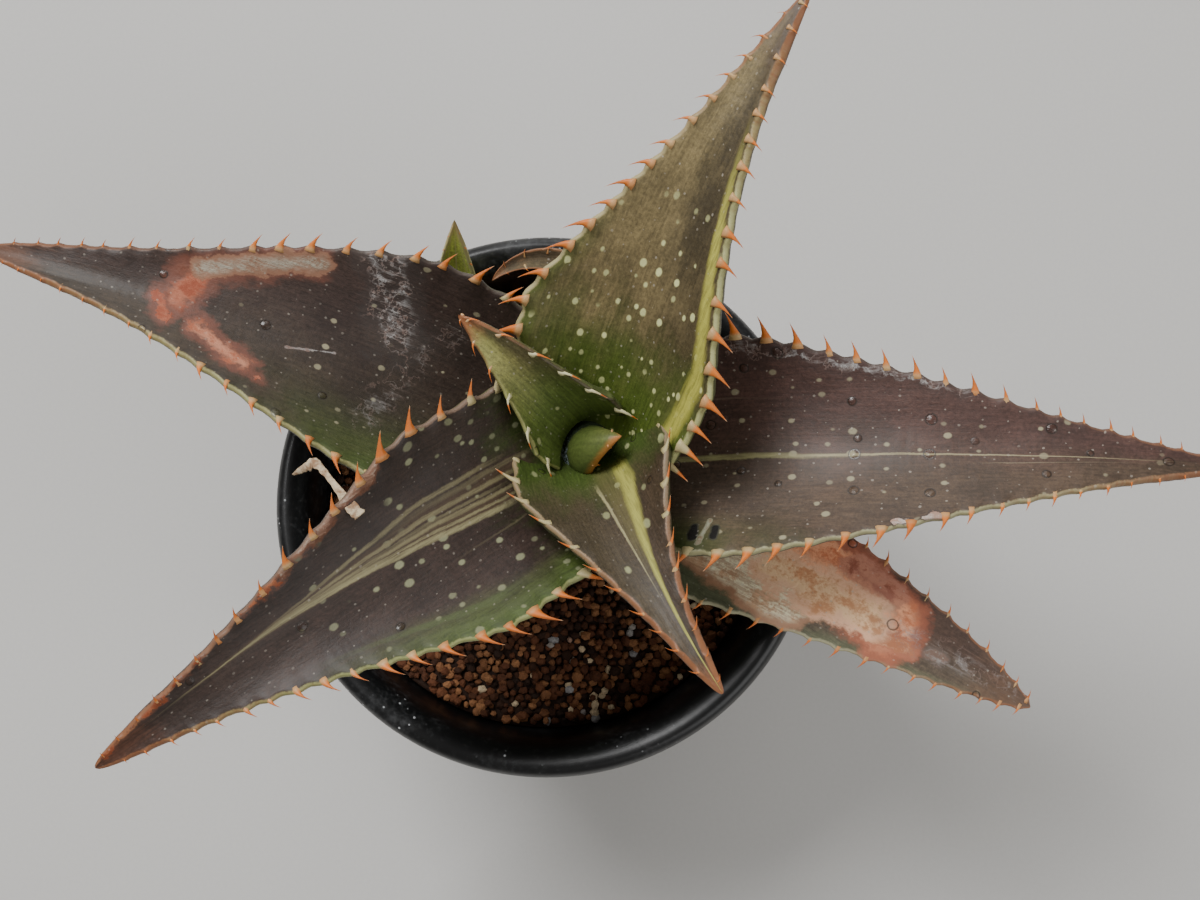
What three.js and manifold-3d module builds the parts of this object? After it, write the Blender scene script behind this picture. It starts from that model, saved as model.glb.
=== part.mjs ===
// A potted variegated soap aloe: a rosette of thick, toothed leaves that clasp one short stem,
// a small offset beside it, and the round black pot of gritty soil that they stand in.
// Millimetres, +Z up. The origin is the centre of the pot's flat underside.
// Seen from above, +X is right and +Y is up the picture.

import * as THREE from 'three';
import { ParametricGeometry } from 'three/addons/geometries/ParametricGeometry.js';
import { mergeVertices } from 'three/addons/utils/BufferGeometryUtils.js';
import Module from 'manifold-3d';

const wasm = await Module();
wasm.setup();

// Clearance kept between solids that touch
const GAP = 0.3;

// Pot
const POT_HEIGHT = 95;
const LIP_RADIUS = 60;
const LIP_RIDGE_RADIUS = 57.3;
const LIP_DEPTH = 10;
const LIP_STEP = 1;
const NECK_RADIUS = 54;
const BASE_RADIUS = 41;
const BASE_EDGE = 2;
const POT_WALL = 2.5;
const POT_FLOOR = 3.5;
const DRAIN_COUNT = 6;
const DRAIN_RADIUS = 4.5;
const DRAIN_RING_RADIUS = 27;
const DRAIN_FACETS = 10;
const POT_FACETS = 44;
const CURVE_DIVISIONS = 3;

// Soil
const SOIL_TOP = 78;
const SOIL_CRUST = 4;
const SOIL_FACETS = 36;
const SOIL_CELLS = 26;
const SOIL_RELIEF = 1.8;

// Plant: its stem stands off the pot's centre, and its own origin is on the soil at the stem's axis
const PLANT_X = 10;
const PLANT_Y = 10;
const STEM_RADIUS = 8.5;
const STEM_DEPTH = 28;
const STEM_HEIGHT = 40;
const STEM_STRAIGHT_SHARE = 0.75;
const STEM_FACETS = 20;

// Offset: its origin is on the soil at its own little stem
const PUP_X = -20;
const PUP_Y = 37.5;
const PUP_STEM_RADIUS = 3.2;
const PUP_STEM_DEPTH = 9;
const PUP_STEM_HEIGHT = 4;
const PUP_STEM_POINT = 2;
const PUP_STEM_FACETS = 12;

// Facets of a blade: round its section and along its length
const BLADE_SLICES = 14;
const BLADE_STACKS = 18;
const SMALL_SLICES = 10;
const SMALL_STACKS = 11;
const MIDRIB_STEPS = 160;
const TIP_CROWDING = 1.2;

// A blade's thickness lies partly above the arc of its section and mostly below it
const UPPER_SHARE = 0.35;
const LOWER_SHARE = 0.65;
const TIP_THICKNESS_SHARE = 0.35;
const TIP_ROUNDING = 0.12;

// Marginal teeth: they lean towards the leaf's base and get smaller and closer towards its tip
const TOOTH_HEIGHT = 4.4;
const TOOTH_HALF_LENGTH = 1.7;
const TOOTH_HALF_THICKNESS = 0.8;
const TOOTH_LEAN = 2.2;
const TOOTH_ROOT = 1.1;
const TOOTH_SIDES = 3;
const TOOTH_STEPS = 1;
const TOOTH_LEAST_THICKNESS_SHARE = 0.6;
const TOOTH_SPACING = 8.5;
const TOOTH_SCATTER = 0.14;
const FIRST_TOOTH_SCATTER = 0.02;
const LAST_TOOTH = 0.975;
const TIP_TOOTH_SHARE = 0.5;
const TIP_SPACING_SHARE = 0.4;
const SMALL_TOOTH_SPACING_SHARE = 0.75;

// Leaves. Angles are in degrees. heading is the compass angle of the leaf from +X, to which bend adds
// evenly and hook late along its length. rise is the midrib's slope at the base, on the way and at the tip,
// and cup the half angle of the section's arc at the same places. widest is the place of the full width
// along the length, neck the share of it at the base; belly, taper and blunt shape the outer outline.
const LEAVES = {
  leaf_innermost: {
    root: [-0.4, -0.8, 39], heading: 4, bend: 0, hook: 0, rise: [82, 66, 45],
    length: 15.5, halfWidth: 5.4, neck: 0.85, widest: 0.2, belly: 1.2, taper: 1, blunt: 0.1,
    cup: [110, 95, 80], roll: 0, twist: 0, thickness: 3,
    firstTooth: 0.55, toothScale: 0.3, seed: 11, color: 0x8d9b4a, small: true,
  },
  leaf_young: {
    root: [-3.7, 5.6, 39.5], heading: 142.3, bend: -7.8, hook: 13.4, rise: [67, 45, 30],
    length: 40.6, halfWidth: 12.9, neck: 0.97, widest: 0.19, belly: 0.68, taper: 0.83, blunt: 0.11,
    cup: [82, 65, 48], roll: -16, twist: -14.5, thickness: 4,
    firstTooth: 0.06, toothScale: 0.7, seed: 12, color: 0x77803f, small: true,
  },
  leaf_centre: {
    root: [0, -3.8, 34], heading: -69.5, bend: 8.5, hook: 6.7, rise: [67.5, 37.5, 5],
    length: 68, halfWidth: 19.5, neck: 0.91, widest: 0.26, belly: 1.04, taper: 2.35, blunt: 0.26,
    cup: [78, 37, 67], roll: -1, twist: 7.4, thickness: 7,
    firstTooth: 0.14, toothScale: 0.75, seed: 13, color: 0x5b5237, small: false,
  },
  leaf_top: {
    root: [2, 2, 30], heading: 71, bend: -12, hook: -3, rise: [60, 38, 15],
    length: 108.5, halfWidth: 24.5, neck: 0.63, widest: 0.34, belly: 1.05, taper: 2, blunt: 0.22,
    cup: [76, 41, 48], roll: -8, twist: -12, thickness: 8.5,
    firstTooth: 0.16, toothScale: 1, seed: 14, color: 0x6f6b42, small: false,
  },
  leaf_lower_left: {
    root: [-1, -1, 28], heading: 214, bend: -1, hook: 2, rise: [48, 18, -12],
    length: 122.7, halfWidth: 24.2, neck: 0.92, widest: 0.36, belly: 1.15, taper: 2.1, blunt: 0.33,
    cup: [66, 38, 63], roll: 0, twist: -20, thickness: 9,
    firstTooth: 0.16, toothScale: 1.05, seed: 15, color: 0x4a3c2d, small: false,
  },
  leaf_right: {
    root: [0, -2, 20], heading: -0.5, bend: -3.5, hook: 1.5, rise: [42, 12, -10],
    length: 139.5, halfWidth: 25.5, neck: 0.7, widest: 0.27, belly: 1.3, taper: 1.75, blunt: 0.2,
    cup: [72, 20, 47], roll: -8, twist: -3.5, thickness: 9,
    firstTooth: 0.18, toothScale: 1, seed: 16, color: 0x4b3832, small: false,
  },
  leaf_left: {
    root: [-4, -1, 13], heading: 154, bend: 18.5, hook: -6.5, rise: [40, 14, -8],
    length: 135.5, halfWidth: 27.8, neck: 0.82, widest: 0.34, belly: 1.55, taper: 2.9, blunt: 0.37,
    cup: [88, 34, 57], roll: 4, twist: 2, thickness: 9,
    firstTooth: 0.2, toothScale: 0.95, seed: 17, color: 0x47392f, small: false,
  },
  leaf_lower_right: {
    root: [-1, -3, 11], heading: -25.3, bend: -6.9, hook: 0, rise: [30, 8, -8],
    length: 109.5, halfWidth: 19, neck: 0.8, widest: 0.27, belly: 0.7, taper: 0.8, blunt: 0.3,
    cup: [57, 14, 30], roll: 0, twist: 0, thickness: 6.5,
    firstTooth: 0.3, toothScale: 0.65, seed: 18, color: 0x8a6a50, small: false,
  },
  leaf_withered: {
    root: [2, 6.5, 12], heading: 64, bend: 56, hook: 112, rise: [26, 15, 4],
    length: 60, halfWidth: 4.6, neck: 0.9, widest: 0.4, belly: 2.2, taper: 0.8, blunt: 0.4,
    cup: [60, 72, 64], roll: 0, twist: -14, thickness: 1.8,
    firstTooth: 0.55, toothScale: 0.5, seed: 19, color: 0x5d4a2c, small: true,
  },
};

// Offset leaves, in the offset's own frame: one tall channelled leaf and three short ones round it
const PUP_LEAF = {
  heading: 84, bend: 0, hook: 0, rise: [76, 68, 66], length: 53, halfWidth: 8, root: [0, 0, -2],
  neck: 0.5, widest: 0.36, belly: 1.3, taper: 1, blunt: 0.1, cup: [60, 52, 46], roll: 0, twist: 0,
  thickness: 3, firstTooth: 0.3, toothScale: 0.25, seed: 20, small: true,
};
const PUP_SHORT_LEAVES = [
  { heading: 235, length: 17, halfWidth: 5 },
  { heading: 345, length: 14, halfWidth: 4.5 },
  { heading: 25, length: 11, halfWidth: 4 },
];
const PUP_SHORT_RISE = [70, 45, 35];

// Curled strip of dead skin on the lower left leaf's margin, by hand, in the plant's frame
const SHRED_PATH = [
  [-43.5, -16.5, 69], [-46.4, -13.4, 68.5], [-49.7, -9.4, 66],
  [-52.9, -6, 63], [-55.2, -6.2, 61], [-58.4, -7.7, 58],
];
const SHRED_HALF_WIDTH = 1.3;
const SHRED_HALF_THICKNESS = 0.4;
const SHRED_SIDES = 6;
const SHRED_STEPS = 9;

// Repeatable random numbers from 0 to 1
function randomNumbers(seed) {
  let state = seed >>> 0;
  return () => {
    state = (state + 0x6d2b79f5) >>> 0;
    let t = Math.imul(state ^ (state >>> 15), 1 | state);
    t = (t + Math.imul(t ^ (t >>> 7), 61 | t)) ^ t;
    return ((t ^ (t >>> 14)) >>> 0) / 4294967296;
  };
}

// Repeatable scatter from 0 to 1 for a place on the soil
function grain(x, y) {
  const scatter = Math.sin(Math.round(x * 1000) * 12.9898 + Math.round(y * 1000) * 78.233) * 43758.5453;
  return scatter - Math.floor(scatter);
}

const clamp01 = (value) => Math.min(1, Math.max(0, value));
const bezier = ([a, b, c], s) => (1 - s) * (1 - s) * a + 2 * s * (1 - s) * b + s * s * c;
const radians = THREE.MathUtils.degToRad;

// Solid from a closed geometry: shared corners are merged and collapsed triangles are dropped
function solidOf(geometry) {
  const bare = geometry.index ? geometry.clone() : mergeVertices(geometry);
  bare.deleteAttribute('normal');
  bare.deleteAttribute('uv');
  const merged = mergeVertices(bare, 1e-3);
  const corners = merged.index.array;
  const triVerts = [];
  for (let i = 0; i < corners.length; i += 3) {
    const [a, b, c] = [corners[i], corners[i + 1], corners[i + 2]];
    if (a !== b && b !== c && c !== a) triVerts.push(a, b, c);
  }
  return new wasm.Manifold(new wasm.Mesh({
    numProp: 3,
    vertProperties: new Float32Array(merged.attributes.position.array),
    triVerts: new Uint32Array(triVerts),
  }));
}

function geometryOf(solid) {
  const mesh = solid.getMesh();
  const geometry = new THREE.BufferGeometry();
  geometry.setAttribute('position', new THREE.BufferAttribute(new Float32Array(mesh.vertProperties), 3));
  geometry.setIndex(new THREE.BufferAttribute(new Uint32Array(mesh.triVerts), 1));
  geometry.computeVertexNormals();
  return geometry;
}

// A cut may leave scraps: only the largest piece grew there
function largestPiece(solid) {
  return solid.decompose().reduce((best, piece) => (piece.volume() > best.volume() ? piece : best));
}

function turned(shape, divisions, facets) {
  const geometry = new THREE.LatheGeometry(shape.getPoints(divisions), facets);
  return geometry.rotateX(Math.PI / 2);
}

function named(name, geometry, color, roughness) {
  const material = new THREE.MeshStandardMaterial({ color, roughness, metalness: 0 });
  const mesh = new THREE.Mesh(geometry, material);
  mesh.name = name;
  return mesh;
}

// One leaf's shape: its midrib as a table of frames, its width, its section and its teeth
class Leaf {
  constructor(spec) {
    this.spec = spec;
    this.frames = [];
    const point = new THREE.Vector3(...spec.root);
    const step = spec.length / MIDRIB_STEPS;
    for (let i = 0; i <= MIDRIB_STEPS; i += 1) {
      const here = this.direction(i / MIDRIB_STEPS);
      this.frames.push(this.frameFor(i / MIDRIB_STEPS, point.clone(), here));
      const next = this.direction(Math.min(1, (i + 1) / MIDRIB_STEPS));
      point.addScaledVector(here.add(next), step / 2);
    }
  }

  heading(s) {
    return radians(this.spec.heading + this.spec.bend * s + this.spec.hook * s * s);
  }

  direction(s) {
    const rise = radians(bezier(this.spec.rise, s));
    const heading = this.heading(s);
    const level = Math.cos(rise);
    return new THREE.Vector3(level * Math.cos(heading), level * Math.sin(heading), Math.sin(rise));
  }

  frameFor(s, point, along) {
    const heading = this.heading(s);
    const roll = radians(this.spec.roll + this.spec.twist * s);
    const level = new THREE.Vector3(-Math.sin(heading), Math.cos(heading), 0);
    const over = along.clone().cross(level);
    const side = level.multiplyScalar(Math.cos(roll)).addScaledVector(over, Math.sin(roll));
    return { point, along: along.clone(), side, up: along.clone().cross(side) };
  }

  frameAt(s) {
    return this.frames[Math.round(clamp01(s) * MIDRIB_STEPS)];
  }

  halfWidth(s) {
    const { widest, neck, belly, taper, blunt, halfWidth } = this.spec;
    if (s < widest) return halfWidth * (neck + (1 - neck) * Math.sin((Math.PI / 2) * (s / widest)));
    const t = clamp01((s - widest) / (1 - widest));
    return halfWidth * ((1 - blunt) * (1 - t ** belly) ** taper + blunt * Math.sqrt(1 - t));
  }

  thickness(s) {
    const share = TIP_THICKNESS_SHARE + (1 - TIP_THICKNESS_SHARE) * (1 - s);
    return this.spec.thickness * share * Math.sqrt(clamp01((1 - s) / TIP_ROUNDING));
  }

  // Point of the section's arc at across, from -1 to 1, with the directions along the arc and out of it
  arcAt(s, across) {
    const frame = this.frameAt(s);
    const half = radians(bezier(this.spec.cup, s));
    const angle = across * half;
    const reach = this.halfWidth(s) / half;
    const point = frame.point.clone()
      .addScaledVector(frame.side, reach * Math.sin(angle))
      .addScaledVector(frame.up, reach * (1 - Math.cos(angle)));
    const out = frame.up.clone().multiplyScalar(Math.cos(angle)).addScaledVector(frame.side, -Math.sin(angle));
    const along = frame.side.clone().multiplyScalar(Math.cos(angle)).addScaledVector(frame.up, Math.sin(angle));
    return { point, out, along, frame };
  }

  // Blade surface: around goes once round the section, length from the base to the tip
  surfacePoint(around, length, swell, target) {
    if (length <= 0 || length >= 1) {
      const end = this.frameAt(length);
      return target.copy(end.point).addScaledVector(end.along, length <= 0 ? -swell : swell);
    }
    const s = 1 - (1 - length) ** TIP_CROWDING;
    const turn = 2 * Math.PI * around;
    const across = Math.cos(turn);
    const height = Math.sin(turn);
    const arc = this.arcAt(s, across);
    const offset = height * this.thickness(s) * (height > 0 ? UPPER_SHARE : LOWER_SHARE);
    return target.copy(arc.point)
      .addScaledVector(arc.out, offset + swell * height)
      .addScaledVector(arc.along, swell * across);
  }

  blade(swell) {
    const slices = this.spec.small ? SMALL_SLICES : BLADE_SLICES;
    const stacks = this.spec.small ? SMALL_STACKS : BLADE_STACKS;
    const surface = (around, length, target) => this.surfacePoint(around, length, swell, target);
    return solidOf(new ParametricGeometry(surface, slices, stacks));
  }

  // Places of the teeth on both margins, spaced with a small seeded scatter
  toothPlaces() {
    const { firstTooth, toothScale, length, seed } = this.spec;
    const random = randomNumbers(seed);
    const scatter = () => 1 + TOOTH_SCATTER * (random() - 0.5);
    const spacingShare = SMALL_TOOTH_SPACING_SHARE + (1 - SMALL_TOOTH_SPACING_SHARE) * toothScale;
    const places = [];
    for (const edge of [-1, 1]) {
      let s = firstTooth + FIRST_TOOTH_SCATTER * random();
      while (s < LAST_TOOTH) {
        const left = Math.sqrt(1 - s);
        const size = toothScale * (TIP_TOOTH_SHARE + (1 - TIP_TOOTH_SHARE) * left) * scatter();
        places.push({ edge, s, size });
        const crowding = TIP_SPACING_SHARE + (1 - TIP_SPACING_SHARE) * left;
        s += (TOOTH_SPACING * spacingShare * crowding * scatter()) / length;
      }
    }
    return places;
  }

  // A three-sided spike, long along the margin, whose tip bends towards the leaf's base
  tooth({ edge, s, size }, swell) {
    const height = TOOTH_HEIGHT * size;
    const root = TOOTH_ROOT + swell;
    const cone = new THREE.ConeGeometry(1, height + root + swell, TOOTH_SIDES, TOOTH_STEPS);
    const halfThickness = TOOTH_HALF_THICKNESS * Math.max(size, TOOTH_LEAST_THICKNESS_SHARE);
    cone.scale(TOOTH_HALF_LENGTH * size + swell, 1, halfThickness + swell);
    cone.translate(0, (height + root + swell) / 2 - root, 0);
    const points = cone.attributes.position;
    for (let i = 0; i < points.count; i += 1) {
      const share = Math.max(0, points.getY(i)) / height;
      points.setX(i, points.getX(i) + TOOTH_LEAN * size * share * share);
    }
    const arc = this.arcAt(s, edge);
    const back = arc.frame.along.clone().negate();
    const outward = arc.along.clone().multiplyScalar(edge);
    const across = back.clone().cross(outward);
    cone.applyMatrix4(new THREE.Matrix4().makeBasis(back, outward, across).setPosition(arc.point));
    return solidOf(cone);
  }

  // The blade with its teeth, swollen on all sides when it is to be cut out of a neighbour
  body(swell = 0) {
    const teeth = this.toothPlaces().map((place) => this.tooth(place, swell));
    return wasm.Manifold.union([this.blade(swell), ...teeth]);
  }
}

// Outside and inside of the pot's tapered wall at a height
const wallRadius = (z) => BASE_RADIUS + ((NECK_RADIUS - BASE_RADIUS) * z) / (POT_HEIGHT - LIP_DEPTH);
const innerRadius = (z) => wallRadius(z) - POT_WALL;

// Pot: a tapered wall, a rounded lip that overhangs it, and a flat floor with a ring of drain holes
function potGeometry() {
  const lipFoot = POT_HEIGHT - LIP_DEPTH;
  const profile = new THREE.Shape();
  profile.moveTo(0, 0);
  profile.lineTo(BASE_RADIUS - BASE_EDGE, 0);
  profile.quadraticCurveTo(BASE_RADIUS, 0, wallRadius(BASE_EDGE), BASE_EDGE);
  profile.lineTo(NECK_RADIUS, lipFoot);
  profile.quadraticCurveTo(LIP_RADIUS, lipFoot + LIP_STEP, LIP_RADIUS, lipFoot + LIP_DEPTH / 2);
  profile.quadraticCurveTo(LIP_RADIUS, POT_HEIGHT, LIP_RIDGE_RADIUS, POT_HEIGHT);
  profile.quadraticCurveTo(innerRadius(lipFoot), POT_HEIGHT - LIP_STEP, innerRadius(lipFoot), lipFoot);
  profile.lineTo(innerRadius(POT_FLOOR), POT_FLOOR);
  profile.lineTo(0, POT_FLOOR);
  const holes = [];
  for (let i = 0; i < DRAIN_COUNT; i += 1) {
    const angle = (2 * Math.PI * (i + 0.5)) / DRAIN_COUNT;
    const hole = new THREE.CylinderGeometry(DRAIN_RADIUS, DRAIN_RADIUS, 3 * POT_FLOOR, DRAIN_FACETS);
    hole.rotateX(Math.PI / 2);
    hole.translate(DRAIN_RING_RADIUS * Math.cos(angle), DRAIN_RING_RADIUS * Math.sin(angle), POT_FLOOR / 2);
    holes.push(solidOf(hole));
  }
  const shell = solidOf(turned(profile, CURVE_DIVISIONS, POT_FACETS));
  return geometryOf(shell.subtract(wasm.Manifold.union(holes)));
}

// Stem: a blunt root end in the soil, a straight part and a growing point that narrows to the youngest leaf
function stemGeometry(swell = 0) {
  const radius = STEM_RADIUS + swell;
  const profile = new THREE.Shape();
  profile.moveTo(0, -STEM_DEPTH - swell);
  profile.quadraticCurveTo(radius, -STEM_DEPTH - swell, radius, -STEM_DEPTH / 2);
  profile.lineTo(radius, STEM_HEIGHT * STEM_STRAIGHT_SHARE);
  profile.quadraticCurveTo(radius, STEM_HEIGHT + swell, 0, STEM_HEIGHT + swell);
  return turned(profile, CURVE_DIVISIONS, STEM_FACETS);
}

// Offset's stub of a stem, pointed at both ends
function pupStemGeometry(swell = 0) {
  const radius = PUP_STEM_RADIUS + swell;
  const profile = new THREE.Shape();
  profile.moveTo(0, -PUP_STEM_DEPTH - swell);
  profile.lineTo(radius, PUP_STEM_POINT - PUP_STEM_DEPTH);
  profile.lineTo(radius, PUP_STEM_HEIGHT - PUP_STEM_POINT + swell);
  profile.lineTo(0, PUP_STEM_HEIGHT + swell);
  return turned(profile, 1, PUP_STEM_FACETS);
}

function movedSolid(geometry, x, y, z) {
  return solidOf(geometry.translate(x, y, z));
}

// Soil: a turned fill stands on the pot's floor, and a crust tops it, a square block rounded out to the wall.
// The crust is lumpy with grains larger than life, and both stems stand in plain holes.
function soilGeometry() {
  const bottom = POT_FLOOR + GAP;
  const fillTop = SOIL_TOP - 0.75 * SOIL_CRUST;
  const fill = new THREE.Shape();
  fill.moveTo(0, bottom);
  fill.lineTo(innerRadius(bottom) - GAP, bottom);
  fill.lineTo(innerRadius(fillTop) - GAP, fillTop);
  fill.lineTo(0, fillTop);
  const crust = new THREE.BoxGeometry(2, 2, SOIL_CRUST, SOIL_CELLS, SOIL_CELLS, 1);
  const points = crust.attributes.position;
  for (let i = 0; i < points.count; i += 1) {
    const [x, y, z] = [points.getX(i), points.getY(i), SOIL_TOP - SOIL_CRUST / 2 + points.getZ(i)];
    const edge = innerRadius(z) - 2 * GAP;
    const inside = Math.max(Math.abs(x), Math.abs(y)) < 1 - 1 / SOIL_CELLS;
    const lump = z > fillTop && inside ? SOIL_RELIEF * (grain(x, y) - 0.5) : 0;
    points.setXYZ(i, edge * x * Math.sqrt(1 - (y * y) / 2), edge * y * Math.sqrt(1 - (x * x) / 2), z + lump);
  }
  const stemHole = movedSolid(stemGeometry(GAP), PLANT_X, PLANT_Y, SOIL_TOP);
  const pupHole = movedSolid(pupStemGeometry(GAP), PUP_X, PUP_Y, SOIL_TOP);
  const whole = solidOf(turned(fill, 1, SOIL_FACETS)).add(solidOf(crust));
  return geometryOf(largestPiece(whole.subtract(stemHole).subtract(pupHole)));
}

// Curled strip of dead skin, a flat tube along its hand-set path
function shredSolid() {
  const outline = new THREE.Shape();
  outline.absellipse(0, 0, SHRED_HALF_THICKNESS, SHRED_HALF_WIDTH, 0, 2 * Math.PI);
  const section = new THREE.Shape(outline.getSpacedPoints(SHRED_SIDES).slice(0, SHRED_SIDES));
  const extrudePath = new THREE.CatmullRomCurve3(SHRED_PATH.map((point) => new THREE.Vector3(...point)));
  return solidOf(new THREE.ExtrudeGeometry(section, { steps: SHRED_STEPS, extrudePath }));
}

// Leaves from the innermost out: each is cut clear of the stem and of every leaf that lies inside it
function leafMeshes() {
  const stem = solidOf(stemGeometry(GAP));
  const inner = [];
  return Object.entries(LEAVES).map(([name, spec]) => {
    const leaf = new Leaf(spec);
    let solid = leaf.body();
    if (name === 'leaf_lower_left') solid = solid.add(shredSolid());
    solid = solid.subtract(wasm.Manifold.union([stem, ...inner]));
    inner.push(leaf.body(GAP).add(leaf.body()));
    return named(name, geometryOf(largestPiece(solid)), spec.color, 0.45);
  });
}

// Offset: its leaves and its stub are one growth
function pupGeometry() {
  const short = PUP_SHORT_LEAVES.map((leaf) => ({
    ...PUP_LEAF, ...leaf, rise: PUP_SHORT_RISE, thickness: 2, firstTooth: 1,
  }));
  const bodies = [PUP_LEAF, ...short].map((spec) => new Leaf(spec).body());
  return geometryOf(wasm.Manifold.union([...bodies, solidOf(pupStemGeometry())]));
}

const plant = new THREE.Group();
plant.position.set(PLANT_X, PLANT_Y, SOIL_TOP);
plant.add(named('stem', geometryOf(solidOf(stemGeometry())), 0x6d7440, 0.6), ...leafMeshes());

const offset = new THREE.Group();
offset.position.set(PUP_X, PUP_Y, SOIL_TOP);
offset.add(named('pup', pupGeometry(), 0x97a84a, 0.45));

const part = new THREE.Group();
part.add(named('pot', potGeometry(), 0x15171a, 0.35));
part.add(named('soil', soilGeometry(), 0x4a2a1c, 0.95));
part.add(plant, offset);

export default part;
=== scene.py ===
"""Looks of a potted variegated soap aloe: leaves, teeth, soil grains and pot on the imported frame.

Metres, +Z up. The origin is the centre of the pot's flat underside. Seen from above, +X is right and +Y is up
the picture. Sizes of the plant and the pot are written in millimetres, as in the part's own source.
In the materials, factors next to fibre, blotch, fleck and the like weigh noise from 0 to 1.
"""

from __future__ import annotations

import json
import logging
import math
import random
from collections.abc import Callable, Iterable, Sequence
from dataclasses import dataclass, field
from enum import Enum

import bmesh
import bpy
from mathutils import Matrix, Vector, noise

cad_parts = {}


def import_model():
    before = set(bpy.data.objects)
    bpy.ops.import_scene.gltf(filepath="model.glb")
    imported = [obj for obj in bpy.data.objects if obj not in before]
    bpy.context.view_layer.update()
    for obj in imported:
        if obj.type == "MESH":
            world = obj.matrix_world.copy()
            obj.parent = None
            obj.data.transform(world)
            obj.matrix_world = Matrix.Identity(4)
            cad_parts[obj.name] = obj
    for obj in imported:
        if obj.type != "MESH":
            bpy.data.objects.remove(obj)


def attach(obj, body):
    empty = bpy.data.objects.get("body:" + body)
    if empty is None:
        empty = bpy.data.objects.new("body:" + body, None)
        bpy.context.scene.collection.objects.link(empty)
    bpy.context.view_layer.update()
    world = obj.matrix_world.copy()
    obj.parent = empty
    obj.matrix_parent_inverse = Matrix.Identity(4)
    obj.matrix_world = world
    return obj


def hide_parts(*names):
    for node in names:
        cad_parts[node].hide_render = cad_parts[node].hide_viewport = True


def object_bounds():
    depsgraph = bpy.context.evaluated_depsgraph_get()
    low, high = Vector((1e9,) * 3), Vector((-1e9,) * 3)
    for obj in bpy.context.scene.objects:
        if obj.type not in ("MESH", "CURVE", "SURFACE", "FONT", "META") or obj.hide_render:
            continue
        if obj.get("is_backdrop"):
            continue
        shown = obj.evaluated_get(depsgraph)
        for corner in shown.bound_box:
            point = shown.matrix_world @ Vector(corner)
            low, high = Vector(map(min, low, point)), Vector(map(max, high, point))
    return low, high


LOG = logging.getLogger("aloe")
MM = 0.001
SOIL_TOP = 78.0
STEM_RADIUS = 8.5
STUB_RADIUS = 3.2
MERGE_REACH = 1e-7
PLANT_AT = (10.0, 10.0, SOIL_TOP)
PUP_AT = (-20.0, 37.5, SOIL_TOP)

Colour = tuple[float, float, float]
Triple = tuple[float, float, float]

SHADE_DARK: Colour = (0.70, 0.68, 0.66)
SHADE_LIGHT: Colour = (1.25, 1.22, 1.19)
DUST: Colour = (0.55, 0.50, 0.42)
# Painted shade for the dark edge of water drops on the leaves.
DROP_EDGE_SHADE: Colour = (0.02, 0.014, 0.010)
TOOTH_SHADE: Colour = (0.62, 0.5, 0.4)


def clamp01(value: float) -> float:
    """Returns value held between 0 and 1."""
    return min(1.0, max(0.0, value))


def smooth01(value: float) -> float:
    """Returns value held between 0 and 1 and eased at both ends."""
    held = clamp01(value)
    return held * held * (3.0 - 2.0 * held)


def bezier(ends: Triple, share: float) -> float:
    """Returns a quadratic curve's value.

    Args:
        ends: Values at the start, on the way and at the end.
        share: Place from 0 to 1.
    """
    first, middle, last = ends
    return (1 - share) ** 2 * first + 2 * share * (1 - share) * middle + share * share * last


def operator(operation: str, swapped: bool = False) -> "Callable[..., Signal]":
    """Returns a method of Signal that adds a Math node.

    Args:
        operation: Name of the node's operation.
        swapped: Whether the other operand comes first.
    """

    def method(self: "Signal", *others: "Signal | float") -> "Signal":
        """Returns the result of the operation on self and others."""
        operands = (*others, self) if swapped else (self, *others)
        return self.graph.node("ShaderNodeMath", {"operation": operation}, dict(enumerate(operands)))

    return method


class Signal:
    """A shader socket that adds Math nodes where it is used in an expression."""

    def __init__(self, graph: "Graph", socket: bpy.types.NodeSocket) -> None:
        """Wraps socket, an output in graph."""
        self.graph = graph
        self.socket = socket

    __add__ = __radd__ = operator("ADD")
    __mul__ = __rmul__ = operator("MULTIPLY")
    __sub__ = operator("SUBTRACT")
    __rsub__ = operator("SUBTRACT", swapped=True)
    __abs__ = operator("ABSOLUTE")
    most = operator("MAXIMUM")
    least = operator("MINIMUM")
    root = operator("SQRT")

    def rise(self, low: float, high: float) -> "Signal":
        """Returns 0 below low, 1 above high, and an eased step between them."""
        inputs = {"Value": self, "From Min": low, "From Max": high}
        return self.graph.node("ShaderNodeMapRange", {"interpolation_type": "SMOOTHSTEP"}, inputs)

    def fall(self, low: float, high: float) -> "Signal":
        """Returns 1 below low, 0 above high, and an eased step between them."""
        return 1.0 - self.rise(low, high)


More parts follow.
